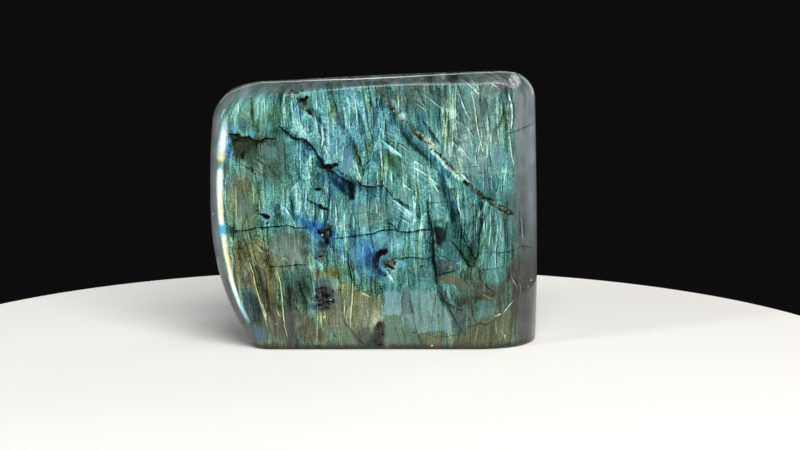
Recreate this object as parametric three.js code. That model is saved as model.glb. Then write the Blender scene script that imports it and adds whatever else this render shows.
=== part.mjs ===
// A labradorite freeform: one block of labradorite, sawn flat underneath so that it stands, with a broad polished
// front face, a rounded left edge that curves in under itself towards the foot, a deep round right end, and a top
// that rises from a crisp front edge to a low crest.
//
// Millimetres, +Z up. The front face looks along -Y and X runs from the left edge to the right end as seen from the
// front. The origin is the middle of the flat base, under the middle of the block's bounding box.
import * as THREE from "three";

const { clamp, degToRad, lerp, smoothstep } = THREE.MathUtils;

// Driving dimensions.
const LEFT_REACH = 51.5; // from the middle plane to the left edge, where it bulges most
const RIGHT_REACH = 53; // from the middle plane to the right end, near the base
const CREST_HEIGHT = 86.4; // from the base to the highest point of the crest
const FOOT_DEPTH = 22; // from the middle plane to the front and back faces, at the base
const FRONT_LEAN = degToRad(5); // the front face leans back from the base by this angle
const BACK_LEAN = degToRad(8.5); // and the back face leans forward
const FRONT_BULGE = 0.9; // how far the middle of the front face stands out from its own plane
const BACK_BULGE = 1.6;
const BASE_CHAMFER = 0.5; // the broken edge all round the base

// The left edge comes in from its bulge by these amounts at the base and at the crest's height.
const BULGE_HEIGHT = 49;
const UNDERCUT = 13.7;
const LEFT_TOP_IN = 3.2;
const LEFT_EDGE_POWER = 2.5;

// The right end comes in by these amounts.
const RIGHT_TOP_IN = 1.9;
const RIGHT_FOOT_IN = 0.5;

// Lapping the broad faces by hand left slow waves on them, stronger at the back. The back also has a wide facet,
// ground across the corner where the crest meets the right end.
const FRONT_WAVE = 0.12;
const BACK_WAVE = 0.35;
const FACET_DIRECTION = degToRad(60); // from +X towards +Z, the way the facet deepens
const FACET_START = 78; // along that direction, from the foot of the middle plane
const FACET_SLOPE = 0.3;
const FACET_SOFTNESS = 2.5;

// The rounding of the block's upright corners, each a quarter arc a little squarer than an ellipse.
const CORNER_POWER = 2.35;
const FRONT_LEFT_CORNER = { x: 6, y: 7 };
const BACK_LEFT_CORNER = { x: 9, y: 9 };
const RIGHT_CORNER_AT_BASE = 22; // the right end is round from the front face to the back face
const RIGHT_CORNER_AT_CREST = 18;

// The crest line runs along the top from above the left shoulder to near the right end.
const CREST_LEFT = -33;
const CREST_RIGHT = 40;
const CREST_FALL = 3.8; // how far it falls over CREST_FALL_RUN, going left from its right end
const CREST_FALL_RUN = 80;
const CREST_FALL_POWER = 1.12;

// The mesh: stations round the block, with as many along the front as along the back, and rings up it.
const SIDES = {
  front: 26,
  frontRight: 9,
  backRight: 9,
  back: 26,
  backLeft: 5,
  left: 4,
  frontLeft: 6,
};
const WALL_RINGS = 14;
const SHOULDER_RINGS = 5;
const TOP_RINGS = 4;

// How far out the left edge and the right end stand at height z.
function leftEdge(z) {
  const under = Math.max(0, BULGE_HEIGHT - z) / BULGE_HEIGHT;
  const over = Math.max(0, z - BULGE_HEIGHT) / (CREST_HEIGHT - BULGE_HEIGHT);
  return -LEFT_REACH + UNDERCUT * under ** LEFT_EDGE_POWER + LEFT_TOP_IN * over ** LEFT_EDGE_POWER;
}

function rightEnd(z) {
  const rise = z / CREST_HEIGHT;
  return RIGHT_REACH - RIGHT_TOP_IN * rise ** 2 - RIGHT_FOOT_IN * (1 - rise) ** 6;
}

// How much of a broad face's bulge there is at a point: all of it in the middle, and none at the ends and the base.
function bulge(x, z) {
  const across = 1 - (x / RIGHT_REACH) ** 2;
  return across * Math.sin(Math.PI * clamp(z / CREST_HEIGHT, 0, 1));
}

function lappingWave(x, z) {
  return Math.sin(x / 11 + z / 23) * Math.sin(z / 14 + 0.5);
}

function frontFace(x, z) {
  return -FOOT_DEPTH + z * Math.tan(FRONT_LEAN) - FRONT_BULGE * bulge(x, z) + FRONT_WAVE * lappingWave(x, z);
}

function backFace(x, z) {
  const lean = FOOT_DEPTH - z * Math.tan(BACK_LEAN);
  const pastFacetEdge = x * Math.cos(FACET_DIRECTION) + z * Math.sin(FACET_DIRECTION) - FACET_START;
  const facet = FACET_SLOPE * FACET_SOFTNESS * Math.log(1 + Math.exp(pastFacetEdge / FACET_SOFTNESS));
  return lean + BACK_BULGE * bulge(x, z) + BACK_WAVE * lappingWave(x, z) - facet;
}

function crestHeight(x) {
  const fall = Math.max(0, CREST_RIGHT + 2 - x) / CREST_FALL_RUN;
  return CREST_HEIGHT - CREST_FALL * fall ** CREST_FALL_POWER;
}

// The shoulder between a wall and the top is small along the front and back, and large at both ends.
function shoulderRadius(x) {
  const leftHalfShare = smoothstep(-x, -5, 25);
  const leftEndShare = smoothstep(-x, 28, 48);
  const rightEndShare = smoothstep(x, 38, 51);
  return 1.5 + 1.6 * leftHalfShare + 8 * leftEndShare + 7 * rightEndShare;
}

// The slope of the top where it leaves the shoulder. It eases to level at the crest.
function topSlope(x) {
  const steepness = 14 + 12 * smoothstep(x, 5, 40) + 8 * smoothstep(-x, 5, 30);
  return degToRad(steepness * (1 - 0.75 * smoothstep(x, 40, 51)));
}

// A point of a quarter arc of unit size, from (1, 0) at share 0 to (0, 1) at share 1.
function quarterArc(share) {
  const angle = (share * Math.PI) / 2;
  return [Math.cos(angle) ** (2 / CORNER_POWER), Math.sin(angle) ** (2 / CORNER_POWER)];
}

// The walls' horizontal section at height z: the point a share of the way along one side. The sides follow each
// other from the left of the front face round to the right end, the back and the left edge.
function wallPoint(side, share, z) {
  const left = leftEdge(z);
  const right = rightEnd(z);
  const rightCorner = lerp(RIGHT_CORNER_AT_BASE, RIGHT_CORNER_AT_CREST, z / CREST_HEIGHT);
  const rightMiddle = (frontFace(right, z) + backFace(right, z)) / 2;
  const frontStart = left + FRONT_LEFT_CORNER.x;
  const backEnd = left + BACK_LEFT_CORNER.x;
  const leftFrontY = frontFace(frontStart, z) + FRONT_LEFT_CORNER.y;
  const leftBackY = backFace(backEnd, z) - BACK_LEFT_CORNER.y;

  if (side === "front") {
    const x = lerp(frontStart, right - rightCorner, share);
    return [x, frontFace(x, z)];
  }
  if (side === "frontRight") {
    const [across, out] = quarterArc(1 - share);
    const x = right - rightCorner * (1 - across);
    return [x, lerp(rightMiddle, frontFace(x, z), out)];
  }
  if (side === "backRight") {
    const [across, out] = quarterArc(share);
    const x = right - rightCorner * (1 - across);
    return [x, lerp(rightMiddle, backFace(x, z), out)];
  }
  if (side === "back") {
    const x = lerp(right - rightCorner, backEnd, share);
    return [x, backFace(x, z)];
  }
  if (side === "backLeft") {
    const [across, out] = quarterArc(1 - share);
    return [backEnd - BACK_LEFT_CORNER.x * across, leftBackY + BACK_LEFT_CORNER.y * out];
  }
  if (side === "left") {
    return [left, lerp(leftBackY, leftFrontY, share)];
  }
  const [across, out] = quarterArc(share);
  return [frontStart - FRONT_LEFT_CORNER.x * across, leftFrontY - FRONT_LEFT_CORNER.y * out];
}

// The point of the crest line that a station's top runs up to. Front and back stations share their points, and the
// stations of each end share one.
function crestPoint(side, share) {
  const along = { front: share, frontRight: 1, backRight: 1, back: 1 - share }[side] ?? 0;
  const x = lerp(CREST_LEFT, CREST_RIGHT, along);
  const z = crestHeight(x);
  return new THREE.Vector3(x, (frontFace(x, z) + backFace(x, z)) / 2, z);
}

// The measures of one station's shoulder and top, seen square to them. The wall ends where its shoulder starts,
// which depends on where the wall stands at that height, so they are worked out by turns.
function shoulderAndTop(side, share) {
  const crest = crestPoint(side, share);
  let wallTop = CREST_HEIGHT;
  let measures;
  for (let turn = 0; turn < 4; turn++) {
    const [x, y] = wallPoint(side, share, wallTop);
    const radius = shoulderRadius(x);
    const slope = topSlope(x);
    const run = Math.hypot(crest.x - x, crest.y - y);
    const shoulderRun = radius * (1 - Math.sin(slope));
    const topStart = crest.z - ((run - shoulderRun) * Math.tan(slope)) / 2;
    wallTop = topStart - radius * Math.cos(slope);
    measures = { crest, wall: new THREE.Vector3(x, y, wallTop), radius, slope, run, shoulderRun, topStart };
  }
  return measures;
}

// One station's profile: the wall from the base up, the shoulder and the top, as a list of points.
function profile(side, share) {
  const { crest, wall, radius, slope, run, shoulderRun, topStart } = shoulderAndTop(side, share);
  const foot = new THREE.Vector3(...wallPoint(side, share, 0), 0);
  const points = [foot.clone().setLength(foot.length() - BASE_CHAMFER)];

  for (let ring = 0; ring <= WALL_RINGS; ring++) {
    const z = lerp(BASE_CHAMFER, wall.z, ring / WALL_RINGS);
    points.push(new THREE.Vector3(...wallPoint(side, share, z), z));
  }
  for (let ring = 1; ring <= SHOULDER_RINGS; ring++) {
    const turn = (ring / SHOULDER_RINGS) * (Math.PI / 2 - slope);
    const point = wall.clone().lerp(crest, (radius * (1 - Math.cos(turn))) / run);
    points.push(point.setZ(wall.z + radius * Math.sin(turn)));
  }
  for (let ring = 1; ring < TOP_RINGS; ring++) {
    const up = ring / TOP_RINGS;
    const point = wall.clone().lerp(crest, lerp(shoulderRun, run, up) / run);
    points.push(point.setZ(topStart + Math.tan(slope) * (run - shoulderRun) * (up - up ** 2 / 2)));
  }
  points.push(crest);
  return points;
}

// The block's closed surface: neighbouring profiles joined by triangles, and a fan under the base.
function freeformGeometry() {
  const profiles = Object.entries(SIDES).flatMap(([side, count]) =>
    Array.from({ length: count }, (_, station) => profile(side, station / count)),
  );
  const positions = profiles.flat().flatMap((point) => point.toArray());
  const baseMiddle = positions.length / 3;
  positions.push(0, 0, 0);

  const rings = profiles[0].length;
  const triangles = [];
  for (let station = 0; station < profiles.length; station++) {
    const here = station * rings;
    const next = ((station + 1) % profiles.length) * rings;
    triangles.push(baseMiddle, next, here);
    for (let ring = 0; ring < rings - 1; ring++) {
      triangles.push(here + ring, next + ring, next + ring + 1);
      triangles.push(here + ring, next + ring + 1, here + ring + 1);
    }
  }

  const geometry = new THREE.BufferGeometry();
  geometry.setAttribute("position", new THREE.Float32BufferAttribute(positions, 3));
  geometry.setIndex(triangles);
  geometry.computeBoundingBox();
  const middle = geometry.boundingBox.getCenter(new THREE.Vector3());
  geometry.translate(-middle.x, -middle.y, 0);
  geometry.computeVertexNormals();
  return geometry;
}

const labradorite = new THREE.MeshStandardMaterial({ color: 0x5c9190, roughness: 0.15, metalness: 0 });
const stone = new THREE.Mesh(freeformGeometry(), labradorite);
stone.name = "labradorite_stone";

const freeform = new THREE.Group();
freeform.add(stone);

export default freeform;
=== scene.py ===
"""A polished labradorite freeform: the fine surface, the flash in the stone, a floor, lights and a camera.

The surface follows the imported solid's own shape on a much finer grid. Fields painted on its vertices say
where the flash is bright, blue, golden or grey and where cracks, streaks and dark minerals lie. The node
material turns them, with layers of stretched noise for the lamellae, into colour, gloss and relief.
"""

import math

import bpy
import numpy as np
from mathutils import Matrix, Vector


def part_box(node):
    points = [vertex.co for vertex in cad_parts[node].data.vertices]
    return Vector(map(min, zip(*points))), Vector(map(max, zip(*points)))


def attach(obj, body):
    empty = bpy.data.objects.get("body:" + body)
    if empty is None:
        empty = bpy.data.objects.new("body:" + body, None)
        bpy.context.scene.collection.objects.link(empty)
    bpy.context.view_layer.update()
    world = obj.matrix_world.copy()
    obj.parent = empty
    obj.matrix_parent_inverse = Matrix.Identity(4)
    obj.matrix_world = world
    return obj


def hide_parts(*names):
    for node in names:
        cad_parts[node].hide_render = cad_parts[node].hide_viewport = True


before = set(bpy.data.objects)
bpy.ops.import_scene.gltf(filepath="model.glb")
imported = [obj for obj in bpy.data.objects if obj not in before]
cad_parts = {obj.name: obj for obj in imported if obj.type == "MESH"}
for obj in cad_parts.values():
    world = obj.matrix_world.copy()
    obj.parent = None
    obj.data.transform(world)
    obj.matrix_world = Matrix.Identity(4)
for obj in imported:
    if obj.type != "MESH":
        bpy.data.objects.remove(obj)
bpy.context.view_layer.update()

STONE = "labradorite_stone"
MM = 0.001

# ---------------------------------------------------------------- shape of the stone, in millimetres

# How far the stone reaches left and right of its middle plane, and how high it stands.
LEFT_REACH = 51.5
RIGHT_REACH = 53.0
CREST_HEIGHT = 86.4

# The broad faces: how far from the middle plane they are at the base, how they lean towards each other, how
# far they bulge, and the broken edge round the base.
FOOT_DEPTH = 22.0
FRONT_LEAN = math.radians(5)
BACK_LEAN = math.radians(8.5)
FRONT_BULGE = 0.9
BACK_BULGE = 1.6
BASE_CHAMFER = 0.5

# The left edge comes in from its bulge by these amounts at the base and at the crest's height, and so does
# the right end.
LEFT_BULGE_HEIGHT = 49.0
LEFT_UNDERCUT = 13.7
LEFT_TOP_IN = 3.2
LEFT_EDGE_POWER = 2.5
RIGHT_TOP_IN = 1.9
RIGHT_FOOT_IN = 0.5

# Slow waves from lapping by hand, and a facet ground across the corner of the back where the crest meets the
# right end. Its start is measured along its direction, which is an angle from +X towards +Z.
FRONT_WAVE = 0.12
BACK_WAVE = 0.35
FACET_DIRECTION = math.radians(60)
FACET_START = 78.0
FACET_SLOPE = 0.3
FACET_SOFTNESS = 2.5

# The rounding of the upright corners, each a quarter arc a little squarer than an ellipse: across and deep.
CORNER_POWER = 2.35
FRONT_LEFT_CORNER = (6.0, 7.0)
BACK_LEFT_CORNER = (9.0, 9.0)
RIGHT_CORNER_AT_BASE = 22.0
RIGHT_CORNER_AT_CREST = 18.0

# The crest line along the top, and how it falls over a run going left from its right end.
CREST_LEFT = -33.0
CREST_RIGHT = 40.0
CREST_FALL = 3.8
CREST_FALL_RUN = 80.0
CREST_FALL_POWER = 1.12

# How finely each side is divided; the crest steps of the front are a whole multiple of the back's.
STATIONS = {
    "front": 240, "front_right": 56, "back_right": 14, "back": 40, "back_left": 10, "left": 16,
    "front_left": 20,
}
WALL_RINGS = 208
SHOULDER_RINGS = 10
TOP_RINGS = 18
BASE_RINGS = (0.92, 0.7, 0.4)

# How often the height of the wall's top is worked out again from where the wall stands at that height.
WALL_TOP_PASSES = 4


def smoothstep(value, low, high):
    """0 at low, 1 at high, with soft ends."""
    share = np.clip((value - low) / (high - low), 0, 1)
    return share * share * (3 - 2 * share)


def left_edge(z):
    """How far left the stone reaches at height z."""
    under = np.maximum(0, LEFT_BULGE_HEIGHT - z) / LEFT_BULGE_HEIGHT
    over = np.maximum(0, z - LEFT_BULGE_HEIGHT) / (CREST_HEIGHT - LEFT_BULGE_HEIGHT)
    return -LEFT_REACH + LEFT_UNDERCUT * under**LEFT_EDGE_POWER + LEFT_TOP_IN * over**LEFT_EDGE_POWER


def right_end(z):
    """How far right the stone reaches at height z."""
    rise = z / CREST_HEIGHT
    return RIGHT_REACH - RIGHT_TOP_IN * rise**2 - RIGHT_FOOT_IN * (1 - rise) ** 6


def crown(x, z):
    """How much of its bulge a broad face has: most in its middle, none at the base and the crest's height."""
    return (1 - (x / RIGHT_REACH) ** 2) * np.sin(np.pi * np.clip(z / CREST_HEIGHT, 0, 1))


def hand_wave(x, z):
    """The unevenness that hand polishing leaves."""
    return np.sin(x / 11 + z / 23) * np.sin(z / 14 + 0.5)


def front_depth(x, z):
    """Where the front face stands, as a y."""
    return -FOOT_DEPTH + z * math.tan(FRONT_LEAN) - FRONT_BULGE * crown(x, z) + FRONT_WAVE * hand_wave(x, z)


def back_depth(x, z):
    """Where the back face stands, as a y."""
    past = x * math.cos(FACET_DIRECTION) + z * math.sin(FACET_DIRECTION) - FACET_START
    facet = FACET_SLOPE * FACET_SOFTNESS * np.log(1 + np.exp(past / FACET_SOFTNESS))
    face = FOOT_DEPTH - z * math.tan(BACK_LEAN) + BACK_BULGE * crown(x, z)
    return face + BACK_WAVE * hand_wave(x, z) - facet


def crest_height(x):
    """Height of the crest line."""
    run = np.maximum(0, CREST_RIGHT + 2 - x) / CREST_FALL_RUN
    return CREST_HEIGHT - CREST_FALL * run**CREST_FALL_POWER


def shoulder_radius(x):
    """The shoulder between a wall and the top: small along the broad faces, large at both ends."""
    left = 1.6 * smoothstep(-x, -5, 25) + 8 * smoothstep(-x, 28, 48)
    return 1.5 + left + 7 * smoothstep(x, 38, 51)


def top_slope(x):
    """The slope of the top where it leaves the shoulder; it eases to level at the crest."""
    degrees = 14 + 12 * smoothstep(x, 5, 40) + 8 * smoothstep(-x, 5, 30)
    return np.radians(degrees * (1 - 0.75 * smoothstep(x, 40, 51)))


def corner_arc(share):
    """A point of a quarter arc of unit size, from (1, 0) at share 0 to (0, 1) at share 1."""
    angle = share * np.pi / 2
    power = 2 / CORNER_POWER
    return np.maximum(0, np.cos(angle)) ** power, np.maximum(0, np.sin(angle)) ** power


def wall_point(side, share, z):
    """Where the wall stands at height z: share runs 0 to 1 along that side."""
    left = left_edge(z)
    right = right_end(z)
    corner = RIGHT_CORNER_AT_BASE + (RIGHT_CORNER_AT_CREST - RIGHT_CORNER_AT_BASE) * z / CREST_HEIGHT
    middle = (front_depth(right, z) + back_depth(right, z)) / 2
    front_start = left + FRONT_LEFT_CORNER[0]
    back_end = left + BACK_LEFT_CORNER[0]
    left_front = front_depth(front_start, z) + FRONT_LEFT_CORNER[1]
    left_back = back_depth(back_end, z) - BACK_LEFT_CORNER[1]
    if side == "front":
        x = front_start + (right - corner - front_start) * share
        return x, front_depth(x, z)
    if side == "front_right":
        along, out = corner_arc(1 - share)
        x = right - corner * (1 - along)
        return x, middle + (front_depth(x, z) - middle) * out
    if side == "back_right":
        along, out = corner_arc(share)
        x = right - corner * (1 - along)
        return x, middle + (back_depth(x, z) - middle) * out
    if side == "back":
        x = right - corner + (back_end - right + corner) * share
        return x, back_depth(x, z)
    if side == "back_left":
        along, out = corner_arc(1 - share)
        return back_end - BACK_LEFT_CORNER[0] * along, left_back + BACK_LEFT_CORNER[1] * out
    if side == "left":
        return left, left_back + (left_front - left_back) * share
    along, out = corner_arc(share)
    return front_start - FRONT_LEFT_CORNER[0] * along, left_front - FRONT_LEFT_CORNER[1] * out


def crest_point(side, share):
    """The point of the crest that a station of this side runs up to: along it, or one of its ends."""
    right = np.ones_like(share)
    along = {"front": share, "front_right": right, "back_right": right, "back": 1 - share}
    x = CREST_LEFT + (CREST_RIGHT - CREST_LEFT) * along.get(side, np.zeros_like(share))
    z = crest_height(x)
    return x, (front_depth(x, z) + back_depth(x, z)) / 2, z


def side_columns(side):
    """The rings of one side, from the foot to just below the crest: an array of ring, coordinate, station."""
    share = np.arange(STATIONS[side]) / STATIONS[side]
    crest_x, crest_y, crest_z = crest_point(side, share)
    wall_top = np.full_like(share, CREST_HEIGHT)
    for _ in range(WALL_TOP_PASSES):
        x, y = wall_point(side, share, wall_top)
        radius = shoulder_radius(x)
        slope = top_slope(x)
        run = np.hypot(crest_x - x, crest_y - y)
        shoulder_run = radius * (1 - np.sin(slope))
        shoulder_top = crest_z - (run - shoulder_run) * np.tan(slope) / 2
        wall_top = shoulder_top - radius * np.cos(slope)

    def towards_crest(inward, z):
        return x + (crest_x - x) * inward, y + (crest_y - y) * inward, z

    ground = np.zeros_like(share)
    foot_x, foot_y = wall_point(side, share, ground)
    foot_share = 1 - BASE_CHAMFER / np.hypot(foot_x, foot_y)
    rings = [(foot_x * foot_share, foot_y * foot_share, ground)]
    for step in range(WALL_RINGS + 1):
        z = BASE_CHAMFER + (wall_top - BASE_CHAMFER) * step / WALL_RINGS
        rings.append((*wall_point(side, share, z), z))
    for step in range(1, SHOULDER_RINGS + 1):
        turned = step / SHOULDER_RINGS * (np.pi / 2 - slope)
        rings.append(towards_crest(radius * (1 - np.cos(turned)) / run, wall_top + radius * np.sin(turned)))
    for step in range(1, TOP_RINGS):
        gone = step / TOP_RINGS
        rise = np.tan(slope) * (run - shoulder_run) * (gone - gone * gone / 2)
        rings.append(towards_crest((shoulder_run + (run - shoulder_run) * gone) / run, shoulder_top + rise))
    return np.array(rings)


def stone_grid():
    """All rings below the crest, as ring, station, coordinate, and the crest's own points.

    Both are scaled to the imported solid's box.
    """
    grid = np.concatenate([side_columns(side) for side in STATIONS], 2).transpose(0, 2, 1)
    share = np.arange(STATIONS["front"] + 1) / STATIONS["front"]
    crest = np.stack(crest_point("front", share), 1)
    everything = np.concatenate([grid.reshape(-1, 3), crest])
    low, high = everything.min(0), everything.max(0)
    box_low, box_high = (np.array(corner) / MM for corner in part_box(STONE))
    scale = (box_high - box_low) / (high - low)
    return box_low + (grid - low) * scale, box_low + (crest - low) * scale


def stone_faces(rings, stations):
    """Quads round the rings, the top zipped to the crest, and a ringed cap on the base.

    The points are numbered ring by ring from the foot, then come the crest and the rings of the base's cap.
    """
    faces = []
    for ring in range(rings - 1):
        for station in range(stations):
            beside = (station + 1) % stations
            faces.append((ring * stations + station, ring * stations + beside,
                          (ring + 1) * stations + beside, (ring + 1) * stations + station))
    top = (rings - 1) * stations
    crest = rings * stations
    front = STATIONS["front"]
    back_start = front + STATIONS["front_right"] + STATIONS["back_right"]
    back = STATIONS["back"]
    per_back = front // back
    for station in range(stations):
        here = top + station
        beside = top + (station + 1) % stations
        if station < front:
            faces.append((here, beside, crest + station + 1, crest + station))
        elif station < back_start:
            faces.append((here, beside, crest + front))
        elif station < back_start + back:
            first = crest + front - (station - back_start) * per_back
            faces.append((here, beside, first - per_back))
            for step in range(per_back):
                faces.append((here, first - step - 1, first - step))
        else:
            faces.append((here, beside, crest))
    inner = crest + front + 1
    outer = 0
    for _ in BASE_RINGS:
        for station in range(stations):
            beside = (station + 1) % stations
            faces.append((inner + station, inner + beside, outer + beside, outer + station))
        outer = inner
        inner += stations
    for station in range(stations):
        faces.append((inner, outer + (station + 1) % stations, outer + station))
    return faces


# ---------------------------------------------------------------- where everything lies on the surface

# All places are millimetres on the broad face: x from its middle, z up from the base. level is how bright the
# flash is, warm, blue and grey colour it, and grain is how strongly the lamellae show in it.
FIELDS = ("level", "warm", "blue", "grey", "grain")
START = (0.50, 0.0, 0.1, 0.0, 0.85)

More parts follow.
